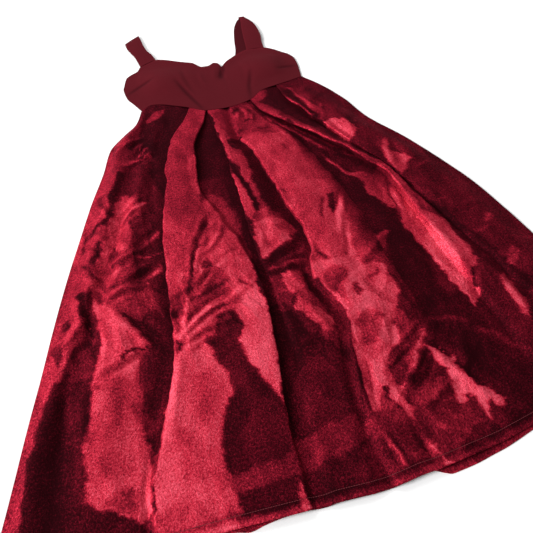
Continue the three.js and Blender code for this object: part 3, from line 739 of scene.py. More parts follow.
front_x = front_grid[:, :, 0].copy()
front_rise = creased(front_x, front_y, FRONT_CREASES, CREASE_SHARP)
for height, grain, seed in FRONT_UNEVEN:
    front_rise += height * uneven(front_x, front_y * 0.55, grain, seed)
front_rise *= front_columns[FREE]
above_hem = front_y - front_columns[AT_HEM]
front_rise -= GROOVE_DEPTH * bell(above_hem - STITCHES_ABOVE_HEM, GROOVE_WIDTH)
lay_on_front(front_rise)
print("creases from", front_rise.min(), "to", front_rise.max(), "mm")

# %% [markdown]
# Crushed velvet is bright where its pile leans to the light and nearly black where it leans away,
# and here that is also painted: the lean carries painted sheen where the cloth faces the light and
# painted shade in hollows and on slopes that face away, with the edge between the two along folds
# and old creases. The lines gave the broad pattern. Now patches of cloth are laid over it, each a
# corner-by-corner outline with its own lean, from 0 to 1, and the width of its soft edge. Streaks do
# the same along a path. Vertex painting is the usual way; written outlines hold their place when the
# grid is made finer.

# %% Patches of pile
STREAK_SPREAD, STREAK_END = 0.6, 0.04


def inside_outline(x, y, outline):
    """Distance to the outline, positive inside it."""
    corners = np.asarray(outline, float)
    nearest, odd = np.full(x.shape, 1e9), np.zeros(x.shape, bool)
    for a, b in zip(corners, np.roll(corners, -1, axis=0)):
        nearest = np.minimum(nearest, segment_distance(x, y, a, b)[0])
        dx, dy = b - a
        crosses = (a[1] > y) != (b[1] > y)
        odd ^= crosses & (x < a[0] + (y - a[1]) * dx / (dy if dy else 1e-9))
    return np.where(odd, nearest, -nearest)


def patch(level, soft, *outline):
    return level, soft, outline, True


def streak(level, width, *path):
    return level, width, path, False


def leaned(x, y, lean, marks, sharper=1.0):
    for level, size, points, closed in marks:
        if closed:
            soft = size * sharper
            cover = ease((inside_outline(x, y, points) + soft / 2) / soft)
        else:
            far, place = stroke_distance(x, y, points)
            ends = np.sin(np.pi * np.clip(place, STREAK_END, 1 - STREAK_END)) * 2
            cover = bell(far, size * STREAK_SPREAD) * np.clip(ends, 0, 1)
        lean = mix(lean, level, cover)
    return lean


one_streak = [streak(0.7, 5, (0, -9), (0, 9))]
print("beside and on a streak:", leaned(np.array([8.0, 0.0]), np.zeros(2), 0.1, one_streak))

# %% Pile and painted sheen and shade left of the left pleat
LEFT_MARKS = [
    patch(0.18, 16, (-178, -155), (-196, -161), (-220, -170), (-235, -185), (-247, -197), (-253, -212),
          (-262, -230), (-271, -254), (-280, -275), (-285, -308), (-292, -320), (-280, -332),
          (-275, -290), (-265, -269), (-250, -251), (-226, -254), (-220, -275), (-205, -281),
          (-190, -300), (-150, -290), (-150, -160)),
    patch(0.03, 12, (-184, -53), (-148, -41), (-130, -34), (-70, -30), (-90, -77), (-120, -113),
          (-140, -164), (-150, -212), (-150, -300), (-175, -300), (-184, -260), (-190, -230),
          (-196, -206), (-184, -188), (-196, -170), (-176, -152), (-190, -125), (-196, -101),
          (-190, -80)),
    patch(0.42, 8, (-176, -34), (-146, -16), (-126, -12), (-132, -28), (-150, -44), (-178, -50)),
    patch(0.04, 10, (-254, -192), (-242, -198), (-260, -250), (-276, -300), (-290, -322), (-298, -318),
          (-284, -290), (-272, -248)),
    patch(0.35, 10, (-301, -242), (-277, -245), (-280, -270), (-298, -268)),
    patch(0.28, 8, (-254, -108), (-231, -110), (-240, -126), (-252, -140)),
    streak(0.22, 5, (-208, -82), (-203, -94)),
    streak(0.7, 5, (-246, -174), (-220, -164), (-196, -158), (-174, -152)),
    streak(0.05, 5, (-220, -128), (-205, -110), (-194, -98)),
    streak(0.05, 4, (-214, -151), (-206, -138), (-201, -124)),
    streak(0.1, 4, (-205, -148), (-200, -138), (-194, -128)),
    streak(0.6, 3, (-211, -147), (-204, -136), (-198, -124)),
    streak(0.55, 3, (-198, -146), (-193, -136), (-187, -132)),
    patch(0.62, 12, (-275, -293), (-265, -275), (-250, -254), (-235, -254), (-226, -275), (-211, -284),
          (-226, -308), (-250, -329), (-253, -356), (-259, -389), (-300, -389), (-290, -340)),
    patch(0.2, 9, (-220, -308), (-199, -290), (-160, -300), (-160, -338), (-199, -359), (-226, -368),
          (-250, -365), (-241, -344), (-250, -329), (-226, -320)),
    streak(0.08, 6, (-252, -397), (-226, -377), (-200, -354)),
    patch(0.6, 5, (-226, -380), (-201, -357), (-203, -374)),
    patch(0.16, 8, (-254, -397), (-241, -389), (-220, -386), (-180, -389), (-190, -416), (-211, -428),
          (-226, -440), (-241, -458), (-258, -475), (-250, -449), (-253, -422)),
    streak(0.6, 3, (-252, -406), (-223, -411), (-196, -409)),
    patch(0.66, 6, (-206, -424), (-204, -430), (-210, -470), (-220, -490), (-242, -470), (-226, -449)),
    streak(0.05, 5, (-205, -416), (-206, -450), (-212, -492)),
    streak(0.12, 6, (-318, -342), (-310, -326), (-298, -318)),
    streak(0.06, 8, (-323, -414), (-312, -382), (-300, -350)),
    streak(0.2, 4, (-338, -376), (-330, -352), (-321, -333)),
    streak(0.2, 5, (-342, -396), (-325, -425), (-308, -450)),
    streak(0.3, 6, (-269, -424), (-266, -444)),
    streak(0.25, 6, (-302, -470), (-290, -464)),
    streak(0.3, 5, (-336, -458), (-326, -468)),
    streak(0.3, 5, (-280, -398), (-284, -376), (-278, -362)),
    streak(0.3, 5, (-292, -400), (-290, -384)),
]
print(len(LEFT_MARKS), "marks")

# %% Pile and painted sheen and shade on the lower left
LOWER_LEFT_MARKS = [
    patch(0.74, 16, (-326, -476), (-298, -510), (-252, -587), (-274, -604), (-298, -680), (-278, -748),
          (-290, -834), (-330, -850), (-367, -796), (-366, -730), (-350, -652), (-336, -600),
          (-328, -588)),
    streak(0.52, 26, (-322, -610), (-312, -660), (-318, -716)),
    streak(0.56, 22, (-350, -690), (-342, -740), (-346, -786)),
    streak(0.5, 18, (-356, -806), (-330, -812), (-304, -822)),
    streak(0.58, 18, (-296, -640), (-288, -680)),
    patch(0.12, 12, (-350, -553), (-342, -559), (-336, -571), (-336, -590), (-344, -622), (-351, -652),
          (-357, -682), (-366, -730), (-368, -775), (-374, -796), (-350, -817), (-320, -832),
          (-296, -859), (-300, -884), (-474, -884), (-455, -802), (-450, -784), (-446, -748),
          (-440, -718), (-428, -682), (-413, -646), (-401, -622), (-384, -595), (-371, -574)),
    patch(0.03, 30, (-400, -640), (-384, -640), (-388, -740), (-400, -800), (-420, -880), (-466, -880),
          (-446, -790), (-436, -720)),
    patch(0.32, 20, (-374, -582), (-342, -566), (-346, -618), (-380, -620)),
    streak(0.12, 5, (-392, -622), (-366, -622), (-344, -624)),
    patch(0.1, 7, (-357, -462), (-331, -462), (-330, -490), (-329, -520), (-329, -550), (-327, -584),
          (-334, -584), (-337, -559), (-344, -532), (-350, -505), (-354, -480)),
    patch(0.3, 8, (-382, -512), (-368, -506), (-368, -524), (-386, -530)),
    patch(0.26, 8, (-399, -550), (-378, -545), (-386, -570), (-388, -591), (-395, -586), (-402, -562)),
    patch(0.14, 8, (-293, -517), (-284, -525), (-272, -535), (-260, -543), (-245, -520), (-240, -529),
          (-236, -550), (-228, -580), (-224, -598), (-215, -604), (-211, -616), (-221, -625),
          (-224, -643), (-233, -667), (-245, -691), (-254, -724), (-263, -748), (-269, -762),
          (-273, -755), (-279, -736), (-285, -721), (-288, -700), (-278, -670), (-269, -664),
          (-262, -668), (-251, -640), (-245, -616), (-242, -601), (-249, -580), (-263, -562),
          (-278, -547), (-290, -527)),
    streak(0.03, 9, (-216, -606), (-226, -640), (-240, -680), (-252, -720), (-268, -756)),
    patch(0.12, 6, (-239, -462), (-200, -455), (-206, -480), (-212, -499), (-222, -500), (-235, -478)),
    patch(0.15, 5, (-222, -518), (-205, -504), (-190, -498), (-196, -506), (-206, -516), (-213, -532)),
    streak(0.2, 5, (-222, -560), (-208, -563)),
    streak(0.1, 4, (-304, -606), (-290, -596), (-275, -590), (-255, -585)),
    streak(0.72, 4, (-304, -600), (-288, -590), (-258, -580)),
    streak(0.1, 4, (-283, -804), (-287, -824), (-290, -842)),
    streak(0.3, 7, (-270, -764), (-278, -776), (-282, -786)),
    streak(0.4, 12, (-324, -800), (-310, -804)),
    streak(0.35, 10, (-344, -640), (-334, -648)),
    streak(0.35, 16, (-290, -700), (-276, -712), (-280, -736)),
]
print(len(LOWER_LEFT_MARKS), "marks")

# %% Pile and painted sheen and shade on the left panel
PANEL_MARKS = [
    patch(0.46, 20, (-60, -20), (-40, -20), (-60, -90), (-80, -130), (-100, -190), (-96, -360),
          (-150, -440), (-190, -300), (-170, -160), (-120, -60)),
    streak(0.3, 5, (-100, -150), (-104, -210), (-112, -262)),
    patch(0.56, 14, (-120, -190), (-90, -190), (-90, -360), (-112, -350), (-124, -300)),
    patch(0.62, 22, (-160, -400), (-124, -385), (-100, -362), (-60, -370), (-40, -440), (-55, -520),
          (-150, -500), (-165, -450)),
    streak(0.2, 5, (-126, -384), (-112, -371), (-96, -364)),
    streak(0.3, 9, (-134, -430), (-124, -401), (-110, -378)),
    streak(0.3, 6, (-156, -426), (-134, -422)),
    patch(0.2, 8, (-146, -464), (-132, -450), (-126, -468), (-140, -474)),
    streak(0.5, 4, (-130, -472), (-104, -460), (-80, -456)),
    streak(0.3, 8, (-178, -536), (-140, -520), (-106, -508)),
    streak(0.36, 5, (-184, -576), (-144, -559), (-120, -552)),
    streak(0.72, 5, (-220, -608), (-200, -589), (-161, -562), (-121, -546), (-70, -526)),
    streak(0.72, 5, (-204, -590), (-174, -522), (-162, -488)),
    streak(0.68, 5, (-190, -596), (-151, -573), (-116, -562)),
    streak(0.3, 7, (-94, -512), (-80, -530)),
    patch(0.54, 6, (-196, -380), (-150, -380), (-140, -400), (-156, -446), (-172, -484), (-190, -530),
          (-206, -588), (-212, -570), (-206, -500), (-198, -440)),
    streak(0.12, 5, (-138, -392), (-152, -440), (-170, -484), (-186, -524), (-203, -582)),
    streak(0.7, 4, (-130, -396), (-146, -442), (-163, -484), (-180, -526), (-196, -578)),
    streak(0.01, 13, (-194, -504), (-199, -534), (-208, -566)),
    streak(0.02, 9, (-218, -598), (-212, -608), (-216, -622)),
    patch(0.16, 12, (-170, -615), (-164, -605), (-151, -602), (-147, -576), (-131, -569), (-118, -569),
          (-111, -602), (-124, -625), (-121, -645), (-114, -678), (-101, -704), (-90, -737),
          (-82, -797), (-98, -817), (-187, -820), (-184, -777), (-177, -751), (-167, -731),
          (-157, -698), (-154, -678), (-161, -652), (-166, -632)),
    patch(0.82, 9, (-114, -566), (-95, -546), (-50, -522), (-40, -553), (-40, -589), (-45, -628),
          (-55, -665), (-70, -711), (-88, -744), (-96, -711), (-111, -681), (-121, -658),
          (-114, -635), (-124, -625), (-111, -605)),
]
print(len(PANEL_MARKS), "marks")

# %% Pile and painted sheen and shade in the inverted pleat and down the centre
UNDERLAY_MARKS = [
    patch(0.13, 10, (-60, -90), (-50, -60), (-40, -60), (-30, -250), (-44, -380), (-110, -380),
          (-116, -300), (-102, -240), (-100, -180), (-80, -130)),
    patch(0.26, 14, (-104, -255), (-60, -255), (-58, -370), (-104, -366), (-116, -310)),
    patch(0.52, 12, (-118, -326), (-96, -290), (-72, -310), (-62, -350), (-62, -410), (-110, -400)),
    patch(0.04, 7, (-58, -290), (-46, -290), (-45, -480), (-42, -513), (-45, -576), (-60, -590),
          (-62, -480), (-56, -400)),
    patch(0.01, 6, (-48, -52), (-42, -52), (-38, -84), (-39, -116), (-41, -180), (-37, -225),
          (-28, -255), (-18, -292), (-16, -330), (-14, -366), (-22, -366), (-26, -324), (-30, -292),
          (-40, -260), (-47, -238), (-51, -212), (-51, -180), (-48, -148), (-46, -84)),
    patch(0.04, 8, (-65, -500), (-67, -526), (-63, -556), (-62, -579), (-65, -612), (-70, -628),
          (-75, -655), (-78, -678), (-81, -698), (-85, -724), (-90, -754), (-91, -790), (-85, -790),
          (-78, -737), (-65, -711), (-48, -698), (-42, -685), (-42, -655), (-30, -635), (-29, -612),
          (-32, -589), (-45, -576), (-45, -546), (-42, -513), (-42, -480), (-60, -480)),
    patch(0.17, 14, (-42, -690), (-30, -640), (0, -640), (20, -690), (8, -787), (-85, -787),
          (-78, -740), (-62, -712)),
    patch(0.25, 10, (-43, -513), (-24, -520), (-22, -575), (-32, -589), (-45, -576)),
    streak(0.35, 3, (-50, -579), (-29, -587)),
]
CENTRE_MARKS = [
    patch(0.38, 12, (-34, -62), (4, -60), (6, -150), (-30, -150)),
    patch(0.58, 7, (-40, -66), (-31, -80), (-25, -154), (-22, -205), (-4, -215), (-8, -250), (-6, -292),
          (-8, -324), (-14, -358), (-21, -308), (-24, -263), (-37, -225), (-40, -154)),
    patch(0.06, 8, (-22, -158), (2, -150), (18, -200), (26, -250), (34, -290), (26, -330), (10, -350),
          (-5, -359), (-4, -300), (-7, -250), (-5, -210), (-16, -184)),
    patch(0.12, 8, (-24, -158), (-5, -154), (3, -180), (18, -225), (21, -244), (32, -273), (27, -295),
          (18, -324), (8, -340), (-8, -359), (-6, -327), (-5, -295), (-8, -250), (-2, -225),
          (-10, -199), (-24, -184)),
    streak(0.01, 7, (-43, -120), (-44, -186), (-38, -228), (-30, -262), (-23, -292), (-20, -324),
           (-15, -356)),
    patch(0.62, 6, (-48, -276), (-40, -260), (-35, -282), (-30, -308), (-24, -340), (-27, -372),
          (-32, -388), (-24, -423), (-38, -407), (-43, -372), (-46, -334)),
    patch(0.62, 5, (-18, -372), (-8, -359), (-5, -382), (-11, -388)),
    patch(0.1, 6, (8, -336), (24, -350), (36, -372), (46, -404), (56, -417), (60, -446), (60, -465),
          (50, -481), (24, -500), (-24, -500), (-45, -490), (-40, -481), (-14, -465), (18, -446),
          (30, -436), (30, -414), (18, -388), (2, -378), (-2, -356)),
    patch(0.66, 7, (-44, -410), (-24, -398), (-2, -388), (18, -394), (30, -417), (30, -433),
          (18, -446), (-14, -465), (-42, -481), (-44, -446)),
    patch(0.14, 6, (-43, -496), (24, -494), (22, -518), (-43, -522)),
    streak(0.5, 5, (-44, -507), (-10, -504), (26, -499)),
    patch(0.68, 6, (-25, -520), (-9, -516), (1, -546), (8, -566), (4, -589), (18, -605), (28, -629),
          (24, -645), (8, -640), (4, -629), (-9, -612), (-19, -592), (-15, -566), (-25, -546)),
    patch(0.42, 8, (4, -640), (26, -642), (32, -665), (21, -680), (8, -660)),
    streak(0.4, 5, (-42, -545), (-22, -551)),
    patch(0.02, 6, (11, -518), (24, -540), (36, -576), (50, -602), (60, -619), (44, -637), (31, -619),
          (21, -595), (11, -566), (8, -539)),
]
print(len(UNDERLAY_MARKS) + len(CENTRE_MARKS), "marks")

# %% Pile and painted sheen and shade on the centre panel
CENTRE_PANEL_MARKS = [
    patch(0.42, 12, (0, -56), (50, -50), (70, -100), (88, -160), (60, -168), (0, -150)),
    patch(0.62, 9, (-14, -152), (30, -168), (60, -170), (88, -160), (101, -199), (104, -244),
          (102, -295), (109, -340), (107, -372), (88, -420), (98, -470), (104, -519), (110, -519),
          (112, -560), (24, -560), (0, -470), (0, -300), (0, -190)),
    patch(0.7, 6, (104, -426), (117, -404), (130, -391), (126, -426), (117, -468), (110, -530),
          (100, -519), (96, -470)),
    streak(0.12, 7, (3, -80), (14, -68), (26, -56)),
    streak(0.2, 5, (20, -114), (36, -108), (50, -112)),
    streak(0.15, 6, (-16, -144), (0, -138), (16, -138)),
    streak(0.25, 6, (40, -76), (42, -90)),
    streak(0.3, 6, (38, -146), (56, -150), (74, -148)),
    streak(0.55, 8, (6, -88), (18, -98), (26, -112)),
    streak(0.3, 4, (102, -370), (89, -404), (81, -436)),
    patch(0.12, 5, (107, -370), (124, -370), (117, -394), (103, -422)),
    streak(0.4, 5, (30, -330), (40, -345)),
    streak(0.45, 5, (70, -210), (80, -225)),
    streak(0.22, 6, (50, -488), (56, -502), (60, -528)),
]
LOW_CENTRE_MARKS = [
    patch(0.76, 10, (19, -516), (24, -546), (37, -582), (54, -619), (44, -638), (47, -675), (31, -695),
          (24, -731), (11, -761), (13, -787), (34, -784), (60, -757), (67, -741), (70, -721),
          (113, -691), (120, -678), (117, -658), (130, -635), (146, -612), (150, -579), (146, -549),
          (112, -540), (100, -516)),
    patch(0.55, 16, (40, -540), (76, -530), (80, -560), (52, -600)),
    patch(0.28, 6, (77, -602), (93, -589), (86, -572), (74, -582)),
    streak(0.78, 6, (78, -566), (96, -554), (118, -548)),
    streak(0.38, 4, (106, -571), (138, -556)),
    patch(0.5, 14, (58, -640), (96, -620), (110, -640), (80, -680), (56, -690)),
    patch(0.12, 6, (51, -757), (60, -757), (67, -797), (60, -799)),
    patch(0.18, 8, (74, -724), (97, -721), (104, -767), (80, -758)),
    patch(0.7, 6, (60, -754), (77, -754), (90, -767), (77, -787), (87, -797), (77, -813), (74, -822),
          (67, -797), (60, -777)),
    patch(0.52, 7, (84, -790), (103, -777), (130, -770), (143, -764), (123, -797), (97, -797)),
    streak(0.62, 5, (70, -726), (107, -708), (119, -690)),
    streak(0.7, 6, (100, -752), (123, -721), (143, -698), (165, -676)),
    streak(0.12, 7, (122, -744), (134, -728), (146, -716)),
    patch(0.82, 5, (143, -711), (160, -727), (173, -737), (181, -732), (176, -751), (181, -774),
          (189, -797), (206, -807), (219, -823), (202, -836), (189, -813), (183, -823), (179, -853),
          (173, -810), (160, -797), (160, -810), (150, -820), (146, -797), (153, -770), (163, -754),
          (150, -744)),
    patch(0.34, 14, (76, -824), (150, -820), (180, -850), (160, -872), (80, -876)),
    streak(0.5, 6, (104, -824), (124, -838), (140, -858)),
    streak(0.5, 5, (130, -812), (142, -832)),
]
print(len(CENTRE_PANEL_MARKS) + len(LOW_CENTRE_MARKS), "marks")

# %% Pile and painted sheen and shade along the hem
HEM_MARKS = [
    patch(0.76, 16, (-212, -625), (-171, -616), (-162, -645), (-156, -671), (-154, -704), (-174, -741),
          (-184, -764), (-189, -820), (-180, -868), (-290, -856), (-280, -800), (-262, -748),
          (-245, -691), (-224, -643)),
    streak(0.58, 24, (-186, -650), (-196, -700), (-204, -744)),
    streak(0.6, 20, (-236, -730), (-232, -780), (-240, -820)),
    streak(0.6, 18, (-210, -800), (-196, -836)),
    patch(0.36, 14, (-187, -823), (-98, -812), (-95, -793), (-2, -787), (64, -787), (57, -803),
          (11, -813), (-22, -830), (-81, -840), (-184, -838)),
    patch(0.12, 10, (-180, -842), (-81, -843), (-22, -833), (-2, -836), (-6, -880), (-177, -878)),
    streak(0.42, 8, (-14, -848), (31, -813), (60, -800)),
    patch(0.7, 5, (-114, -886), (-102, -848), (-98, -862), (-101, -888)),
    streak(0.62, 5, (31, -820), (36, -846), (41, -882)),
    streak(0.4, 4, (54, -850), (54, -872)),
    patch(0.7, 5, (82, -850), (90, -852), (92, -874), (106, -888), (90, -888)),
    patch(0.22, 10, (0, -826), (28, -824), (28, -880), (0, -880)),
    patch(0.66, 12, (-290, -836), (-196, -836), (-190, -884), (-290, -878)),
    streak(0.36, 10, (-206, -862), (-190, -864)),
]
print(len(HEM_MARKS), "marks")

# %% Pile and painted sheen and shade right of the right recess
FAR_RIGHT_MARKS = [
    patch(0.2, 40, (170, -30), (230, -20), (300, -150), (440, -400), (520, -700), (520, -890),
          (340, -890), (310, -560), (240, -280), (190, -120)),
    patch(0.06, 10, (60, -40), (98, -14), (150, -12), (158, -68), (172, -137), (166, -180), (140, -170),
          (100, -100)),
    patch(0.4, 7, (56, -30), (96, -16), (92, -44), (62, -56)),
    patch(0.01, 6, (126, -29), (148, -36), (152, -72), (141, -79), (126, -58)),
    streak(0.5, 5, (126, -50), (137, -79), (152, -108), (166, -150)),
    streak(0.45, 5, (132, -14), (152, -32), (157, -68), (170, -104), (174, -130)),
    patch(0.36, 12, (160, -60), (186, -90), (196, -110), (180, -150), (172, -110)),
    streak(0.5, 5, (196, -98), (184, -137), (172, -172)),
    patch(0.7, 6, (175, -176), (191, -164), (206, -162), (220, -173), (227, -191), (234, -202),
          (231, -220), (216, -238), (204, -245), (195, -223), (195, -209), (184, -202)),
    streak(0.62, 6, (84, -104), (104, -131), (126, -169), (159, -212), (184, -245), (198, -270),
           (220, -292), (246, -322)),
    patch(0.2, 8, (155, -234), (198, -299), (224, -331), (213, -335), (191, -324), (177, -306),
          (158, -278)),
    streak(0.55, 7, (74, -104), (94, -136), (118, -176), (146, -220), (172, -256)),
    streak(0.66, 5, (146, -252), (155, -281), (173, -313), (190, -332)),
    patch(0.64, 9, (173, -320), (198, -324), (216, -338), (234, -324), (245, -328), (249, -360),
          (260, -396), (260, -432), (252, -446), (263, -468), (278, -475), (292, -493), (288, -504),
          (276, -508), (292, -560), (231, -560), (224, -504), (213, -475), (220, -432), (209, -425),
          (195, -396), (188, -374), (188, -346)),
    streak(0.15, 5, (238, -338), (226, -396), (222, -450), (212, -478)),
    patch(0.76, 8, (262, -470), (292, -493), (288, -510), (298, -552), (300, -592), (285, -604),
          (276, -604), (272, -646), (250, -666), (243, -612), (230, -555), (240, -520)),
    patch(0.6, 8, (260, -274), (267, -256), (278, -252), (274, -281), (270, -295), (292, -306),
          (306, -322), (288, -328), (285, -342), (263, -356), (256, -342), (256, -317)),
    patch(0.04, 7, (160, -137), (175, -191), (193, -230), (207, -266), (229, -299), (247, -324),
          (250, -346), (266, -403), (284, -450), (299, -504), (316, -560), (346, -664), (364, -664),
          (330, -553), (308, -500), (292, -450), (276, -403), (257, -340), (238, -299),
          (214, -262), (198, -226), (181, -187), (166, -137)),
    streak(0.48, 4, (292, -446), (324, -436)),
    streak(0.5, 8, (352, -513), (378, -499)),
    streak(0.42, 6, (320, -530), (362, -522)),
    patch(0.66, 6, (317, -628), (331, -620), (331, -680), (313, -724), (309, -680)),
    patch(0.48, 8, (340, -604), (366, -580), (376, -592), (350, -612)),
    streak(0.42, 6, (300, -350), (330, -342)),
]
RECESS_MARKS = [
    patch(0.5, 10, (92, -200), (112, -240), (124, -300), (132, -330), (128, -372), (104, -376),
          (98, -300)),
    patch(0.03, 16, (96, -110), (150, -210), (180, -290), (176, -330), (196, -400), (216, -470),
          (224, -560), (218, -640), (200, -690), (160, -660), (130, -640), (152, -600), (158, -540),
          (184, -484), (130, -470), (134, -400), (112, -360), (106, -250)),
    patch(0.14, 18, (136, -400), (176, -400), (184, -470), (140, -480)),
    patch(0.25, 10, (84, -112), (98, -140), (106, -196), (96, -190)),
    patch(0.56, 8, (126, -533), (137, -504), (159, -486), (184, -472), (190, -479), (168, -504),
          (154, -533), (123, -553)),
    patch(0.04, 5, (103, -536), (114, -504), (126, -462), (124, -520), (108, -542)),
    patch(0.1, 16, (150, -640), (240, -660), (300, -760), (250, -800), (200, -770), (180, -720)),
    streak(0.3, 8, (150, -662), (190, -672), (230, -690)),
    streak(0.3, 8, (220, -700), (260, -724), (280, -760)),
]
FOLD_EDGE_MARKS = [patch(0.2, 14, (0, -540), (70, -540), (60, -800), (0, -800))]
print(len(FAR_RIGHT_MARKS) + len(RECESS_MARKS) + len(FOLD_EDGE_MARKS), "marks")

# %% [markdown]
# The marks are laid in the order in which they are written, each over those before it, and a group
# stops at a pleat's edge, because it lies between two numbers among the lines. Real patches have
# ragged edges, as the pile falls over in tufts, so the places are shifted a little first. Drawing
# ragged outlines would do it as well, but with ten times the corners.

# %% All marks laid on the front
MARK_AREAS = [
    (-1, 4.9, LEFT_MARKS), (-1, 4.9, LOWER_LEFT_MARKS), (4.9, 7.1, PANEL_MARKS),
    (5.0, 10, UNDERLAY_MARKS), (7.9, 10.2, CENTRE_MARKS), (12.6, 15, RECESS_MARKS),
    (9.6, 13.5, CENTRE_PANEL_MARKS), (9.6, 16, LOW_CENTRE_MARKS), (12.9, 19, FAR_RIGHT_MARKS),
    (2.5, 16, HEM_MARKS), (9.3, 10.02, FOLD_EDGE_MARKS)]
EDGE_SHARPER = 0.45
# Each wander of the marks: shift across, shift down, grain, seed across, seed down
WANDERS = [(4, 5, 19, 11, 13), (2.5, 2.5, 8, 12, 14), (1.5, 1.5, 3.7, 15, 16)]
HEM_EDGE_PAINTED_HIGHLIGHT, STITCH_PAINTED_SHADE, HEM_BAND = 0.2, 0.14, 4
FOLDED_AWAY_PAINTED_SHADE = 0.3


def wandering(x, y):
    """The same places, shifted a few millimetres here and there, so that edges are not smooth."""
    moved_x, moved_y = x, y
    for shift_x, shift_y, grain, seed_x, seed_y in WANDERS:
        moved_x = moved_x + shift_x * uneven(x, y, grain, seed_x)
        moved_y = moved_y + shift_y * uneven(x, y, grain, seed_y)
    return moved_x, moved_y


wander_x, wander_y = wandering(front_x, front_y)
front_pile_and_painted_light = front_columns[PILE_AND_PAINTED_LIGHT]
for first, last, marks in MARK_AREAS:
    laid = leaned(wander_x, wander_y, front_pile_and_painted_light, marks, EDGE_SHARPER)
    within = (front_columns[COUNTED] >= first) & (front_columns[COUNTED] <= last)
    front_pile_and_painted_light = np.where(within, laid, front_pile_and_painted_light)
# Painted highlight along the hem's turned edge, painted shade in the groove of the topstitching, and painted
# shade on cloth folded away under a pleat's edge.
front_pile_and_painted_light += HEM_EDGE_PAINTED_HIGHLIGHT * bell(above_hem - 3, HEM_BAND)
front_pile_and_painted_light -= STITCH_PAINTED_SHADE * bell(above_hem - STITCHES_ABOVE_HEM, HEM_BAND)
front_pile_and_painted_light *= mix(FOLDED_AWAY_PAINTED_SHADE, 1, front_columns[FREE])
print("the pile leans from", front_pile_and_painted_light.min(), "to", front_pile_and_painted_light.max())

# %% [markdown]
# A crease shows by its shape, which the lamp lights, but the lamp alone would show only the shape.
# So the slopes of the creases are added to the lean as painted light and painted shade: the flank
# towards the light is painted brighter than the cloth around it, and the other one darker.

# %% Fine creases under the streaks
# A dark streak lies in a fine crease that sinks, and a light one runs along a fine ridge.
FINE_RISE, EVEN_PILE, FINE_WIDTH, FINE_LEAST = 2.6, 0.42, 0.8, 3
FINE_CREASES = [(FINE_RISE * (level - EVEN_PILE), max(FINE_WIDTH * width, FINE_LEAST), path)
                for _, _, marks in MARK_AREAS for level, width, path, closed in marks if not closed]
fine_rise = creased(front_x, front_y, FINE_CREASES) * front_columns[FREE]
front_rise += fine_rise
lay_on_front(fine_rise)
print(len(FINE_CREASES), "fine creases, from", fine_rise.min(), "to", fine_rise.max(), "mm")

# %% Painted light and shade on the flanks of the creases
# The light comes from the left and a little from the hem, so a slope down the skirt counts for less.
FLANK_PAINTED_LIGHT_AND_SHADE, STEEPEST, LEAST_STEP = 0.62, 0.8, 1.2
SLOPE_ACROSS_COUNTS, SLOPE_DOWN_COUNTS = 0.9, 0.5
slope_across = np.gradient(front_rise, axis=1) / np.maximum(np.gradient(front_x, axis=1), LEAST_STEP)
slope_down = np.gradient(front_rise, axis=0) / np.minimum(np.gradient(front_y, axis=0), -LEAST_STEP)
flank = SLOPE_ACROSS_COUNTS * slope_across - SLOPE_DOWN_COUNTS * slope_down
# Painted highlight on flanks that face the light, painted shade on flanks that face away.
front_pile_and_painted_light = np.clip(front_pile_and_painted_light + FLANK_PAINTED_LIGHT_AND_SHADE * np.clip(flank, -STEEPEST, STEEPEST), 0, 1)
print("flanks from", flank.min(), "to", flank.max())

# %% [markdown]
# Some of the cloth is crumpled into little flat-sided facets, and some lies pressed. A mesh with every
# facet would have millions of faces, so only the areas are outlined here, with how crumpled they
# are, and the velvet's material makes the facets inside them.

# %% Crumpled areas: strength, soft edge, outline
CRUMPLED = [
    patch(0.8, 40, (-330, -250), (-215, -240), (-200, -420), (-190, -620), (-300, -620), (-380, -520)),
    patch(0.9, 30, (-250, -90), (-180, -80), (-170, -170), (-240, -190)),
    patch(0.9, 40, (-200, -470), (-70, -440), (-60, -560), (-120, -620), (-210, -620)),
    patch(0.7, 40, (-45, -380), (45, -370), (50, -680), (-20, -680)),
    patch(0.8, 40, (20, -520), (160, -500), (170, -660), (230, -700), (240, -860), (20, -880)),
    patch(0.6, 40, (130, -60), (250, -140), (300, -330), (320, -660), (220, -660), (180, -300)),
]
SMOOTHEST = 0.25
front_crumple = leaned(front_x, front_y, SMOOTHEST + 0 * front_pile_and_painted_light, CRUMPLED) * front_columns[FREE]
print("crumpled share", round(float((front_crumple > 0.5).mean()), 3))

# %% [markdown]
# A material is a small graph. These helpers add a node, join sockets and make a smooth colour ramp,
# so that the cloths below read as a recipe. The same nodes could be set by hand in the shader editor,
# but there the reader can't see in which order they were thought of.

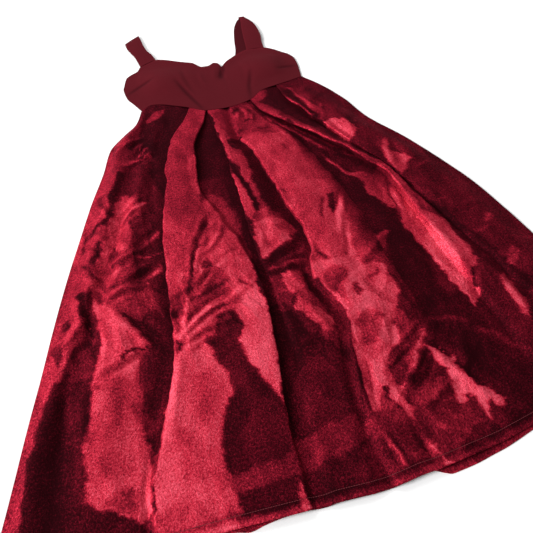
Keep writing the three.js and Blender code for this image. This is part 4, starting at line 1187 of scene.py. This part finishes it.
# %% Helpers for materials
class Recipe:
    def __init__(self, name):
        self.material = bpy.data.materials.new(name)
        self.material.use_nodes = True
        self.tree = self.material.node_tree
        self.shader = self.tree.nodes["Principled BSDF"]

    def node(self, kind, **settings):
        made = self.tree.nodes.new(kind)
        for key, value in settings.items():
            setattr(made, key, value)
        return made

    def join(self, source, target):
        self.tree.links.new(source, target)

    def plain(self, **values):
        """Sets the shader's own sockets; a space in a socket's name is written as an underscore."""
        for name, value in values.items():
            self.shader.inputs[name.replace("_", " ")].default_value = value

    def give(self, **sources):
        for name, source in sources.items():
            self.join(source, self.shader.inputs[name.replace("_", " ")])

    def fact(self, name, kind="Fac"):
        return self.node("ShaderNodeAttribute", attribute_name=name).outputs[kind]

    def stretched(self, place, stretch):
        mapping = self.node("ShaderNodeMapping")
        mapping.inputs["Scale"].default_value = stretch
        self.join(place, mapping.inputs["Vector"])
        return mapping.outputs["Vector"]

    def noise(self, place, scale, detail, roughness=0.5, distortion=0.0, stretch=(1, 1, 1)):
        noise = self.node("ShaderNodeTexNoise")
        sizes = {"Scale": scale, "Detail": detail, "Roughness": roughness, "Distortion": distortion}
        for name, value in sizes.items():
            noise.inputs[name].default_value = value
        self.join(self.stretched(place, stretch), noise.inputs["Vector"])
        return noise.outputs["Fac"]

    def sum(self, a, b, weight):
        """a + weight * (b - 0.5), as the middle of a noise is 0.5"""
        shifted = self.node("ShaderNodeMath", operation="SUBTRACT")
        self.join(b, shifted.inputs[0])
        shifted.inputs[1].default_value = 0.5
        added = self.node("ShaderNodeMath", operation="MULTIPLY_ADD")
        self.join(shifted.outputs[0], added.inputs[0])
        added.inputs[1].default_value = weight
        self.join(a, added.inputs[2])
        return added.outputs[0]

    def ramp(self, value, stops):
        ramp = self.node("ShaderNodeValToRGB")
        points = ramp.color_ramp.elements
        for k, (at, colour) in enumerate(stops):
            point = points[k] if k < 2 else points.new(at)
            point.position, point.color = at, colour
        self.join(value, ramp.inputs["Fac"])
        return ramp.outputs["Color"]

    def bump(self, height, depth, strength=1.0, under=None):
        bump = self.node("ShaderNodeBump")
        bump.inputs["Strength"].default_value = strength
        bump.inputs["Distance"].default_value = depth
        self.join(height, bump.inputs["Height"])
        if under is not None:
            self.join(under, bump.inputs["Normal"])
        return bump.outputs["Normal"]


def grey(level):
    return (level, level, level, 1)


print("a middle grey is", grey(0.5))

# %% [markdown]
# Velvet is a short pile on a knitted ground. Under a lens each tuft is a dot, light on its tip and
# dark at its foot, and crushing has pushed the tufts over in flecks a few millimetres long. So the
# colour follows the pile's lean, broken up by three grains: crushed patches, flecks and tufts, and by
# flat-sided facets where the cloth is crumpled. The lean also holds the painted sheen and painted
# shade laid on the skirt, and the brightest colours of the ramp are the colour of that painted sheen.
# The tips also catch light at a slant, which is what the little sheen is for. Hair could make every
# tuft, but from here only their grain is seen.

# %% Crushed velvet
# Colours by lean, for the pile with its painted shade and sheen; the brightest stops give the painted sheen
# its pinkish colour.
VELVET_PILE_AND_PAINTED_SHEEN_STOPS = [
    (0.0, (0.019, 0.0015, 0.0030, 1)),
    (0.2, (0.068, 0.0024, 0.0070, 1)),
    (0.42, (0.180, 0.0060, 0.0165, 1)),
    (0.66, (0.470, 0.0185, 0.0410, 1)),
    (1.0, (0.760, 0.0860, 0.1320, 1)),
]
# Each grain: scale, detail, roughness, distortion, stretch
CRUSHED = (24, 5, 0.62, 0.9, (1, 0.75, 1))
FLECKS = (330, 3, 0.7, 0.3, (1, 0.9, 1))
TUFTS = (700, 2, 0.7)
WIDE_FACETS, SMALL_FACETS = (22, (1, 0.55, 1)), (60, (1, 0.6, 1))
DULL, GLOSSY = 0.7, 0.32


def facets(recipe, place, scale, stretch):
    """Flat-sided patches as in crumpled cloth: a height and a level of its own for each one."""
    place = recipe.stretched(place, stretch)
    bend = recipe.node("ShaderNodeTexNoise")
    bend.inputs["Scale"].default_value = scale * 1.3
    recipe.join(place, bend.inputs["Vector"])
    moved = recipe.node("ShaderNodeVectorMath", operation="MULTIPLY_ADD")
    moved.inputs[1].default_value = (0.5 / scale,) * 3
    recipe.join(bend.outputs["Color"], moved.inputs[0])
    recipe.join(place, moved.inputs[2])
    cells = recipe.node("ShaderNodeTexVoronoi", feature="F1")
    cells.inputs["Scale"].default_value = scale
    recipe.join(moved.outputs["Vector"], cells.inputs["Vector"])
    level = recipe.node("ShaderNodeSeparateColor")
    recipe.join(cells.outputs["Color"], level.inputs["Color"])
    return cells.outputs["Distance"], level.outputs["Red"]


def where_crumpled(recipe, level):
    """The level where the cloth is crumpled, and 0.5 where it isn't."""
    blend = recipe.node("ShaderNodeMix", data_type="FLOAT")
    blend.inputs["A"].default_value = 0.5
    recipe.join(recipe.fact("crumple"), blend.inputs["Factor"])
    recipe.join(level, blend.inputs["B"])
    return blend.outputs["Result"]


def crushed_velvet():
    recipe = Recipe("Crushed_velvet")
    place = recipe.fact("cloth_place", "Vector")
    wide_fold, wide_level = facets(recipe, place, *WIDE_FACETS)
    small_fold, small_level = facets(recipe, place, *SMALL_FACETS)
    crushed, flecks, tufts = (recipe.noise(place, *grain) for grain in (CRUSHED, FLECKS, TUFTS))
    # The lean: the pile with its painted sheen and painted shade.
    lean = recipe.fact("lean")
    wide_level, small_level = where_crumpled(recipe, wide_level), where_crumpled(recipe, small_level)
    for level, weight in ((crushed, 0.5), (wide_level, 0.24), (small_level, 0.16), (flecks, 1.1),
                          (tufts, 0.9)):
        lean = recipe.sum(lean, level, weight)
    face = recipe.bump(where_crumpled(recipe, wide_fold), 0.02, 0.45)
    face = recipe.bump(where_crumpled(recipe, small_fold), 0.006, 0.4, face)
    face = recipe.bump(flecks, 0.0022, 0.6, face)
    face = recipe.bump(tufts, 0.0010, 0.7, face)
    recipe.give(Base_Color=recipe.ramp(lean, VELVET_PILE_AND_PAINTED_SHEEN_STOPS), Normal=face,
                Roughness=recipe.ramp(lean, [(0.0, grey(DULL)), (1.0, grey(GLOSSY))]))
    recipe.plain(Metallic=0.5, Specular_IOR_Level=0.03, Specular_Tint=(1.0, 0.4, 0.5, 1),
                 Sheen_Weight=0.03, Sheen_Roughness=0.35, Sheen_Tint=(1.0, 0.12, 0.2, 1))
    return recipe.material


velvet = crushed_velvet()
print(velvet.name, len(velvet.node_tree.nodes), "nodes")

# %% [markdown]
# The bodice is a matt crepe. Its yarns are twisted so hard that the cloth has a fine pebbled face
# with no shine, and it looks almost the same from everywhere. A fine pebble, thicker yarns that run
# one way and a slight unevenness of the dye are enough. A picture of crepe would repeat; noise doesn't.

# %% Crepe
CREPE_STOPS = [(0.0, (0.046, 0.0028, 0.0055, 1)), (1.0, (0.108, 0.0072, 0.0125, 1))]
PEBBLE, SLUB, DYE_CLOUD = (900, 2, 0.6), (60, 3, 0.6, 0.0, (1, 6, 1)), (9, 2, 0.5)


def matt_crepe():
    recipe = Recipe("Matt_crepe")
    place = recipe.fact("cloth_place", "Vector")
    pebble, slub, cloud = (recipe.noise(place, *grain) for grain in (PEBBLE, SLUB, DYE_CLOUD))
    shade = recipe.fact("shade")
    for level, weight in ((pebble, 0.5), (slub, 0.3), (cloud, 0.35)):
        shade = recipe.sum(shade, level, weight)
    weave = recipe.bump(slub, 0.0004, 0.4)
    recipe.give(Base_Color=recipe.ramp(shade, CREPE_STOPS), Normal=recipe.bump(pebble, 0.0003, 0.6, weave),
                Roughness=recipe.ramp(pebble, [(0.3, grey(0.82)), (0.7, grey(0.95))]))
    recipe.plain(Specular_IOR_Level=0.03, Sheen_Weight=0.03, Sheen_Tint=(0.7, 0.25, 0.3, 1))
    return recipe.material


crepe = matt_crepe()
print(crepe.name, len(crepe.node_tree.nodes), "nodes")

# %% [markdown]
# The front of the skirt is one piece of velvet, pleated into the waist seam, with its hem turned up.
# The turn-up could be a second layer. It is a thicker wall here, because under a front that lies on
# the floor nothing shows of it but its edge and its stitches.

# %% Front of the skirt
front_wall = np.where(FRONT_ROWS >= HEM_TURN, HEM_WALL, VELVET_WALL)
skirt_front = cloth_piece("Skirt_front", front_grid, front_wall,
                          {"lean": front_pile_and_painted_light, "crumple": front_crumple}, velvet, UNDER_STEP)

# %% [markdown]
# The back of the skirt lies flat under the front. It shows only at the hem, where it peeps out in
# two places, so its grid is coarser, with fine columns where its hem curves. Low folds run up from
# the hem, and between them the back has a few creases of its own, shallower than the front's. A copy
# of the front, turned over, would be easier, but its folds would push up through the front's.

# %% Back of the skirt
BACK_WAIST_X, BACK_WAIST_Y = [-177, -120, 0, 120, 189], [1, -2, -8, 2, 15]
BACK_HEM_X = [-495, -400, -300, -215, -196, -178, -158, -130, 0, 70, 86, 96, 112, 133, 156, 180,
              205, 228, 330, 487]
BACK_HEM_Y = [-862, -874, -882, -884, -887, -891, -888, -886, -886, -886, -893, -897, -896, -894,
              -890, -886, -880, -874, -853, -824]
# Each fold: place at the top, place at the hem, rise, width
BACK_FOLDS = [(-150, -352, 2.4, 12), (-92, -194, 2.4, 11), (-4, -12, 2.0, 8), (110, 68, 2.4, 10),
              (190, 350, 2.4, 11), (212, 442, 2.2, 11)]
FOLDS_START, FOLDS_FULL = 0.5, 0.72
# Each stretch of the hem: from, to, columns
BACK_FINE = [(-495, -215, 56), (-215, -125, 26), (-125, 65, 36), (65, 125, 18), (125, 487, 72)]
BACK_ROWS = np.concatenate([np.linspace(0, 0.5, 60)[:-1], np.linspace(0.5, 1, 75)])
LEAST_LIFT, HEM_RIM, HEM_RIM_SOFT = 0.35, 0.988, 0.008
BACK_CREASES = [
    (0.9, 6, [(-300, -330), (-262, -420), (-270, -520)]), (0.7, 5, [(-210, -180), (-170, -260)]),
    (0.8, 7, [(-120, -420), (-150, -560), (-140, -640)]), (0.6, 5, [(-60, -120), (-84, -230)]),
    (0.9, 6, [(20, -300), (46, -420), (38, -500)]), (0.7, 8, [(110, -520), (150, -640)]),
    (0.8, 5, [(150, -200), (204, -330), (216, -380)]), (0.6, 6, [(260, -480), (320, -600)]),
    (0.7, 7, [(-380, -640), (-340, -720)]), (0.8, 6, [(300, -330), (330, -420)]),
]


def back_grid():
    """Rows run from the waist to the hem; each column lies at the same share of every row."""
    hem_x = np.concatenate([np.linspace(a, b, n, endpoint=False) for a, b, n in BACK_FINE] + [[487]])
    left, right = LINES[0][2], LINES[-1][2]
    across = ((hem_x - left[-1]) / (right[-1] - left[-1]))[None]
    s = BACK_ROWS[:, None]
    x = mix(along(STATIONS, left, s), along(STATIONS, right, s), across)
    waist = along(BACK_WAIST_X, BACK_WAIST_Y, mix(left[0], right[0], across))
    y = row_y(waist, along(BACK_HEM_X, BACK_HEM_Y, hem_x)[None], s)
    grown = ease((s - FOLDS_START) / (FOLDS_FULL - FOLDS_START))
    lift = sum(grown * rise * bell(x - mix(top, low, s), width) for top, low, rise, width in BACK_FOLDS)
    rise = np.maximum(np.where(lift > LEAST_LIFT, lift, 0), creased(x, y, BACK_CREASES))
    return np.stack([x, y, VELVET_WALL / 2 + rise], 2)


skirt_back_grid = back_grid()
# A slow wave in the pile, and painted shade: the back is painted dark where the front lies over it, but for
# a narrow rim along its hem.
back_pile_and_painted_shade = 0.42 + 0.1 * np.sin(skirt_back_grid[:, :, 0] / 70) * np.cos(skirt_back_grid[:, :, 1] / 130)
back_pile_and_painted_shade = mix(0.35 * back_pile_and_painted_shade, 0.5, ease((BACK_ROWS[:, None] - HEM_RIM) / HEM_RIM_SOFT))
skirt_back = cloth_piece("Skirt_back", skirt_back_grid, VELVET_WALL + 0 * BACK_ROWS,
                         {"lean": back_pile_and_painted_shade, "crumple": 0.4 + 0 * back_pile_and_painted_shade}, velvet)

# %% [markdown]
# The bodice front is cut from panels and shaped by darts, so it has two full cups and a sweetheart
# neckline, gathered to a pinch at the centre. Each column runs from the waist seam to the neckline.
# The cups are two low swells, and each dart is a narrow soft valley that ends at a cup. Sewn panels
# could be simulated on a form, but an empty bodice on a floor keeps only this much of its shape.

# %% Columns and rows of the bodice
BODICE_WAIST = [-177, -170, -162, -152, -143, -130, -112, -98, -84, -70, -57, -46, -36, -26, -12, 2,
                12, 18, 25, 33, 46, 60, 74, 82, 90, 101, 112, 134, 152, 170, 189]
BODICE_TOP_X = [-198, -192, -180, -164, -155, -136, -116, -97, -81, -66, -51, -36, -28, -20, -4, 11,
                21, 25, 32, 40, 55, 70, 84, 91, 98, 108, 119, 140, 157, 172, 187]
BODICE_TOP_Y = [114, 131, 141, 150, 165, 173.8, 183, 177, 168, 159, 151, 143, 131, 121, 120, 128,
                122, 107, 115, 124, 135, 145, 152, 155, 157, 156.1, 155, 153, 143, 128, 113]
BOW_AT = [0, 0.25, 0.5, 0.75, 0.9, 1]
BOW_LEFT, BOW_RIGHT = [0, 7, 14, 12, 5, 0], [0, 4, 8, 9, 5, 0]
BODICE_LEFT, BODICE_RIGHT = -177, 189
WAIST_GAP, SEAM_GAP, COLUMN_STEP = 0.9, 0.3, 3.2
RIDE_X, RIDE_Z = [-177, -160, -125, -80, 125, 158, 189], [2.2, 3.4, 5, 6.4, 6.4, 4.6, 2.2]
EDGE_HEIGHT, UNDERARM_HEIGHT = 3.6, 2.2
# Each cup: place, height above the waist, swell, width, length
CUPS = [(-112, 88, 8.5, 56, 50), (112, 78, 8.5, 54, 48)]
print(len(BODICE_WAIST), "columns set by hand")


def place_across(waist_x):
    return (waist_x - BODICE_LEFT) / (BODICE_RIGHT - BODICE_LEFT)


def seam_bow(waist_x, v):
    place = place_across(waist_x)
    return along(BOW_AT, BOW_RIGHT, v) * place**3 - along(BOW_AT, BOW_LEFT, v) * (1 - place) ** 3


# %% Darts, seams and pulls of the bodice: rise, width, path
DARTS = [
    (-1.9, 4.5, [(-50, -44), (-66, 10), (-88, 78)]),
    (-1.6, 4.5, [(56, -38), (66, 10), (84, 66)]),
    (-1.8, 4.5, [(-199, 66), (-170, 84), (-134, 100)]),
    (-1.5, 4.5, [(192, 60), (168, 58), (142, 52)]),
    (-3.2, 5, [(27, 112), (22, 88), (12, 60)]),
]
BODICE_PULLS = [
    (1.0, 4, [(14, 120), (4, 92), (-2, 60)]),
    (-1.0, 4, [(32, 112), (22, 84), (20, 50)]),
    (0.8, 5, [(-24, 116), (-30, 80), (-26, 40)]),
    (-0.8, 6, [(-60, 140), (-66, 96), (-56, 30)]),
    (0.8, 6, [(-76, 110), (-72, 60), (-58, 0)]),
    (-0.7, 7, [(60, 124), (68, 80), (62, 20)]),
    (0.7, 6, [(-148, 20), (-110, 34), (-70, 30)]),
    (-0.7, 8, [(100, 20), (140, 30), (176, 22)]),
    (0.6, 6, [(-170, 110), (-150, 140), (-132, 160)]),
    (-0.6, 6, [(118, 140), (140, 120), (168, 112)]),
]
print(len(DARTS), "darts and", len(BODICE_PULLS), "pulls")


# %% Front of the bodice
def finer_columns(coarse, count):
    """The places at the waist of all columns, with count(width) of them to each coarse stretch."""
    stretches = [np.linspace(a, b, count(b - a), endpoint=False) for a, b in zip(coarse[:-1], coarse[1:])]
    return np.concatenate(stretches + [[BODICE_RIGHT]])


def bodice_height(waist_x, v, x, y):
    """Height of the cloth: the seam's ride over the skirt, the rim, the two cups and the creases."""
    place = place_across(waist_x)
    from_side = np.clip(np.minimum(place, 1 - place) / 0.16, 0, 1)
    rim = mix(UNDERARM_HEIGHT, EDGE_HEIGHT, ease(from_side))
    z = mix(along(RIDE_X, RIDE_Z, waist_x), rim, ease(v))
    inside = ease(from_side) * ease(v / 0.35) * ease((1 - v) / 0.3)
    for cup_x, cup_y, height, wide, tall in CUPS:
        z = z + inside * height * bell(x - cup_x, wide) * bell(y - cup_y, tall)
    return z + inside * creased(x, y, DARTS + BODICE_PULLS)


def bodice_front_grid(rows):
    """Fine columns from the waist seam to the top edge."""
    coarse = np.asarray(BODICE_WAIST, float)
    waist_x = finer_columns(coarse, lambda width: max(2, int(round(width / COLUMN_STEP))))
    top_x, top_y = along(coarse, BODICE_TOP_X, waist_x), along(coarse, BODICE_TOP_Y, waist_x)
    v = rows[:, None]
    x = mix(waist_x[None], top_x[None], v) + seam_bow(waist_x[None], v)
    y = mix(waist_y(waist_x)[None] + WAIST_GAP, top_y[None], v)
    return np.stack([x, y, bodice_height(waist_x[None], v, x, y)], 2)


BODICE_ROWS = np.linspace(1, 0, 64)
# Painted shade in the crepe along the valleys of the darts and the pinch at the centre, and a painted
# highlight along the top edge.
EVEN_SHADE, DART_PAINTED_SHADE, RIM_PAINTED_HIGHLIGHT = 0.5, 0.34, 0.3
bodice_grid = bodice_front_grid(BODICE_ROWS)
rim_painted_highlight = RIM_PAINTED_HIGHLIGHT * ease((BODICE_ROWS[:, None] - 0.965) / 0.02)
painted_dart_shade_and_rim_highlight = EVEN_SHADE + DART_PAINTED_SHADE * creased(bodice_grid[:, :, 0], bodice_grid[:, :, 1], DARTS) + rim_painted_highlight
bodice_front = cloth_piece("Bodice_front", bodice_grid, CREPE_WALL + 0 * BODICE_ROWS,
                           {"shade": painted_dart_shade_and_rim_highlight}, crepe)

# %% [markdown]
# The back of the bodice is hidden by the front from above. It lies flat, cut lower than the front,
# with a corner under each strap. It could be left out of a picture, but the dress is a whole part
# that may be seen from below, so it is a flat grid of the same crepe, with no darts.

# %% Back of the bodice
# Each column: place at the waist, place and height at the top edge
BACK_TABLE = [(-177, -198, 112), (-168, -186, 121), (-158, -170, 129), (-146, -152, 134),
              (-131, -132, 136), (-114, -112, 138), (-98, -92, 124), (-78, -70, 112),
              (-48, -42, 102), (-12, -6, 98), (20, 24, 101), (43, 46, 111), (60, 66, 128),
              (84, 89, 130), (108, 112, 132), (134, 138, 127), (160, 163, 119), (189, 187, 110)]
BACK_BODICE_ROWS = np.linspace(1, 0, 40)


def bodice_back_grid():
    waist, top_x, top_y = np.array(BACK_TABLE, float).T
    fine = finer_columns(waist, lambda width: 6)
    v = BACK_BODICE_ROWS[:, None]
    x = mix(fine[None], np.interp(fine, waist, top_x)[None], v) + seam_bow(fine[None], v)
    start = along(BACK_WAIST_X, BACK_WAIST_Y, fine)[None] + SEAM_GAP
    y = mix(start, np.interp(fine, waist, top_y)[None], v)
    return np.stack([x, y, x * 0 + CREPE_WALL / 2], 2)


hidden_grid = bodice_back_grid()
bodice_back = cloth_piece("Bodice_back", hidden_grid, CREPE_WALL + 0 * BACK_BODICE_ROWS,
                          {"shade": 0.45 + 0 * hidden_grid[:, :, 0]}, crepe)

# %% [markdown]
# Each strap is one strip that rises from the front's edge, turns over at the shoulder and comes down
# under itself to the back's edge. A row of the table is one section: left edge, right edge, height.
# Pressed flat, the strip has a low crown along its middle, its turned edges are painted a little
# lighter, a painted highlight, and the stretch that runs under itself is painted dark, a painted shade.
# A bevelled curve would give a cord; sections keep the strip flat and let its width change.

# %% Straps
STRAP_LEFT = [
    (-155, 165.3, -116, 183.3, 3.6), (-158, 184, -121, 204, 4.6), (-162, 208, -130, 226, 5.2),
    (-169, 230, -134, 246, 5.4), (-174.5, 250, -136, 268, 5.0), (-176, 266, -137.5, 286, 4.4),
    (-175.5, 273, -138.6, 300, 3.7), (-175.2, 275.4, -138.8, 303, 2.15),
    (-174.6, 273, -139.2, 299, 0.6), (-172, 262, -140, 283, 0.6), (-168, 238, -137, 256, 0.6),
    (-160, 212, -132, 228, 0.6), (-155, 184, -124, 196, 0.6), (-153, 158, -117, 164, 0.6),
    (-152, 134.3, -112, 138.3, 0.6)]
STRAP_RIGHT = [
    (98, 157.3, 140, 153.3, 3.6), (101, 176, 142, 178, 4.6), (104, 204, 147, 204, 5.4),
    (108, 232, 148.5, 229, 5.8), (112, 258, 147, 257, 5.8), (117, 282, 141, 282, 5.2),
    (119, 298, 134, 298, 4.4), (118, 306, 132, 306, 3.7), (118, 309.4, 132, 309.4, 2.15),
    (118, 306, 132, 306, 0.6), (110, 296, 133, 297, 0.6), (95, 264, 134, 268, 0.6),
    (87, 234, 131, 236, 0.6), (81, 206, 126, 206, 0.6), (74, 168, 120, 168, 0.6),
    (68, 146, 114, 150, 0.6), (66, 128.3, 112, 132.3, 0.6)]
STRAP_ACROSS = np.linspace(0, 1, 17)
STRAP_CROWN = 0.9


def strap_grid(sections):
    rows = np.array(sections[::-1], float)
    at = np.arange(len(rows))
    fine = np.linspace(0, len(rows) - 1, 8 * (len(rows) - 1) + 1)
    left_x, left_y, right_x, right_y, z = (along(at, rows[:, k], fine)[:, None] for k in range(5))
    t = STRAP_ACROSS[None]
    raised = ease((z - 2.4) / 1.2) * STRAP_CROWN * (1 - (2 * t - 1) ** 2)
    return np.stack([mix(left_x, right_x, t), mix(left_y, right_y, t), z + raised], 2)


def strap_piece(name, sections):
    grid = strap_grid(sections)
    edge = np.abs(2 * STRAP_ACROSS[None] - 1)
    # Painted shade on the stretch that lies under the strap, painted highlight along its turned edges.
    shade = mix(0.0, 0.5, ease((grid[:, :, 2] - 1) / 2)) + 0.25 * ease((edge - 0.8) / 0.2)
    return cloth_piece(name, grid, CREPE_WALL + 0 * grid[:, 0, 0], {"shade": shade}, crepe)


strap_left = strap_piece("Strap_left", STRAP_LEFT)
strap_right = strap_piece("Strap_right", STRAP_RIGHT)

# %% [markdown]
# The hem is turned up and topstitched about 13 mm from its edge, all the way round. A machine makes
# each stitch alike, so a node tree sets one small stitch along a path at an even pitch. A bump in the
# velvet could hint at them, but a thread lies on top of the cloth. The path is a row of the cloth
# itself, lifted to its face, so the stitching rises and falls with the folds.

# %% Tree that sews along a path
STITCH_PITCH, STITCH_LENGTH, STITCH_WIDTH = 3.4, 2.5, 0.7
THREAD_STOPS = [(0.2, (0.090, 0.004, 0.009, 1)), (0.8, (0.22, 0.014, 0.026, 1))]


def sewing_tree(thread):
    tree = bpy.data.node_groups.new("Sewing", "GeometryNodeTree")
    face = tree.interface
    face.new_socket("Path", in_out="INPUT", socket_type="NodeSocketGeometry")
    for name in ("Pitch", "Length", "Width"):
        face.new_socket(name, in_out="INPUT", socket_type="NodeSocketFloat")
    face.new_socket("Stitches", in_out="OUTPUT", socket_type="NodeSocketGeometry")
    given, made = tree.nodes.new("NodeGroupInput"), tree.nodes.new("NodeGroupOutput")
    spaced = tree.nodes.new("GeometryNodeResampleCurve")
    spaced.mode = "LENGTH"
    half = tree.nodes.new("ShaderNodeMath")
    half.operation = "MULTIPLY"
    half.inputs[1].default_value = 0.5
    stitch = tree.nodes.new("GeometryNodeMeshCylinder")
    stitch.inputs["Vertices"].default_value = 6
    tangent = tree.nodes.new("GeometryNodeInputTangent")
    turned = tree.nodes.new("FunctionNodeAlignRotationToVector")
    turned.axis = "Z"
    placed = tree.nodes.new("GeometryNodeInstanceOnPoints")
    real = tree.nodes.new("GeometryNodeRealizeInstances")
    dyed = tree.nodes.new("GeometryNodeSetMaterial")
    dyed.inputs["Material"].default_value = thread
    joins = [
        (given.outputs["Path"], spaced.inputs["Curve"]),
        (given.outputs["Pitch"], spaced.inputs["Length"]),
        (given.outputs["Width"], half.inputs[0]),
        (half.outputs[0], stitch.inputs["Radius"]),
        (given.outputs["Length"], stitch.inputs["Depth"]),
        (tangent.outputs["Tangent"], turned.inputs["Vector"]),
        (spaced.outputs["Curve"], placed.inputs["Points"]),
        (stitch.outputs["Mesh"], placed.inputs["Instance"]),
        (turned.outputs["Rotation"], placed.inputs["Rotation"]),
        (placed.outputs["Instances"], real.inputs["Geometry"]),
        (real.outputs["Geometry"], dyed.inputs["Geometry"]),
        (dyed.outputs["Geometry"], made.inputs["Stitches"]),
    ]
    for source, target in joins:
        tree.links.new(source, target)
    return tree


def thread_material():
    recipe = Recipe("Red_thread")
    place = recipe.node("ShaderNodeTexCoord").outputs["Object"]
    twist = recipe.noise(place, 1800, 2, 0.6)
    recipe.give(Base_Color=recipe.ramp(twist, THREAD_STOPS), Normal=recipe.bump(twist, 0.0002),
                Roughness=recipe.ramp(twist, [(0.0, grey(0.65)), (1.0, grey(0.8))]))
    return recipe.material


sewing = sewing_tree(thread_material())
print("sewing tree", len(sewing.nodes), "nodes")

# %% Hem stitches
def sewn(name, path):
    """A row of stitches along a path in millimetres, as a plain mesh."""
    curve = bpy.data.curves.new(name + "_path", "CURVE")
    curve.dimensions = "3D"
    spline = curve.splines.new("POLY")
    spline.points.add(len(path) - 1)
    spline.points.foreach_set("co", np.append(metres(path), np.ones((len(path), 1)), 1).ravel())
    guide = bpy.data.objects.new(name + "_path", curve)
    bpy.context.collection.objects.link(guide)
    sewer = guide.modifiers.new("Sewing", "NODES")
    sewer.node_group = sewing
    sizes = {"Pitch": STITCH_PITCH, "Length": STITCH_LENGTH, "Width": STITCH_WIDTH}
    for item in sewing.interface.items_tree:
        if item.name in sizes and item.in_out == "INPUT":
            sewer[item.identifier] = sizes[item.name] * METRE
    sewer_view = guide.evaluated_get(bpy.context.evaluated_depsgraph_get())
    mesh = bpy.data.meshes.new_from_object(sewer_view)
    mesh.name = name
    guide.modifiers.remove(sewer)
    bpy.data.objects.remove(guide)
    row = bpy.data.objects.new(name, mesh)
    bpy.context.collection.objects.link(row)
    print(name, len(mesh.vertices) // 12, "stitches")
    return row


def hem_path(grid, wall, above):
    """The row of the cloth that is this far above the hem, lifted to the face that shows."""
    up = np.linalg.norm(np.diff(grid[::-1], axis=0), axis=2).mean(axis=1).cumsum()
    row = len(grid) - 2 - int(np.searchsorted(up, above))
    lift = wall / 2 + STITCH_WIDTH * 0.2
    return grid[row, 2:-2] + lift * grid_normals(grid)[row, 2:-2]


front_stitches = sewn("Hem_stitches_front", hem_path(front_grid, HEM_WALL, STITCHES_ABOVE_HEM))
back_stitches = sewn("Hem_stitches_back",
                     hem_path(skirt_back_grid, VELVET_WALL, STITCHES_ABOVE_HEM))

# %% Each piece in place of its solid, and its cloth area
def area_of(grid):
    across, down = np.diff(grid, axis=1)[:-1], np.diff(grid, axis=0)[:, :-1]
    return float(np.linalg.norm(np.cross(across, down), axis=2).sum()) * METRE**2


PIECES = [(skirt_front, "skirt_front", "velvet"), (skirt_back, "skirt_back", "velvet"),
          (bodice_front, "bodice_front", "crepe"), (bodice_back, "bodice_back", "crepe"),
          (strap_left, "strap_left", "crepe"), (strap_right, "strap_right", "crepe")]
for piece, node, finish in PIECES:
    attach(piece, "root")
    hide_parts(node)
for stitches in (front_stitches, back_stitches):
    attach(stitches, "root")
for name, grid in (("front", front_grid), ("back", skirt_back_grid), ("bodice", bodice_grid),
                   ("bodice back", hidden_grid), ("strap", strap_grid(STRAP_LEFT))):
    print(name, "cloth area", round(area_of(grid), 4), "square metres")
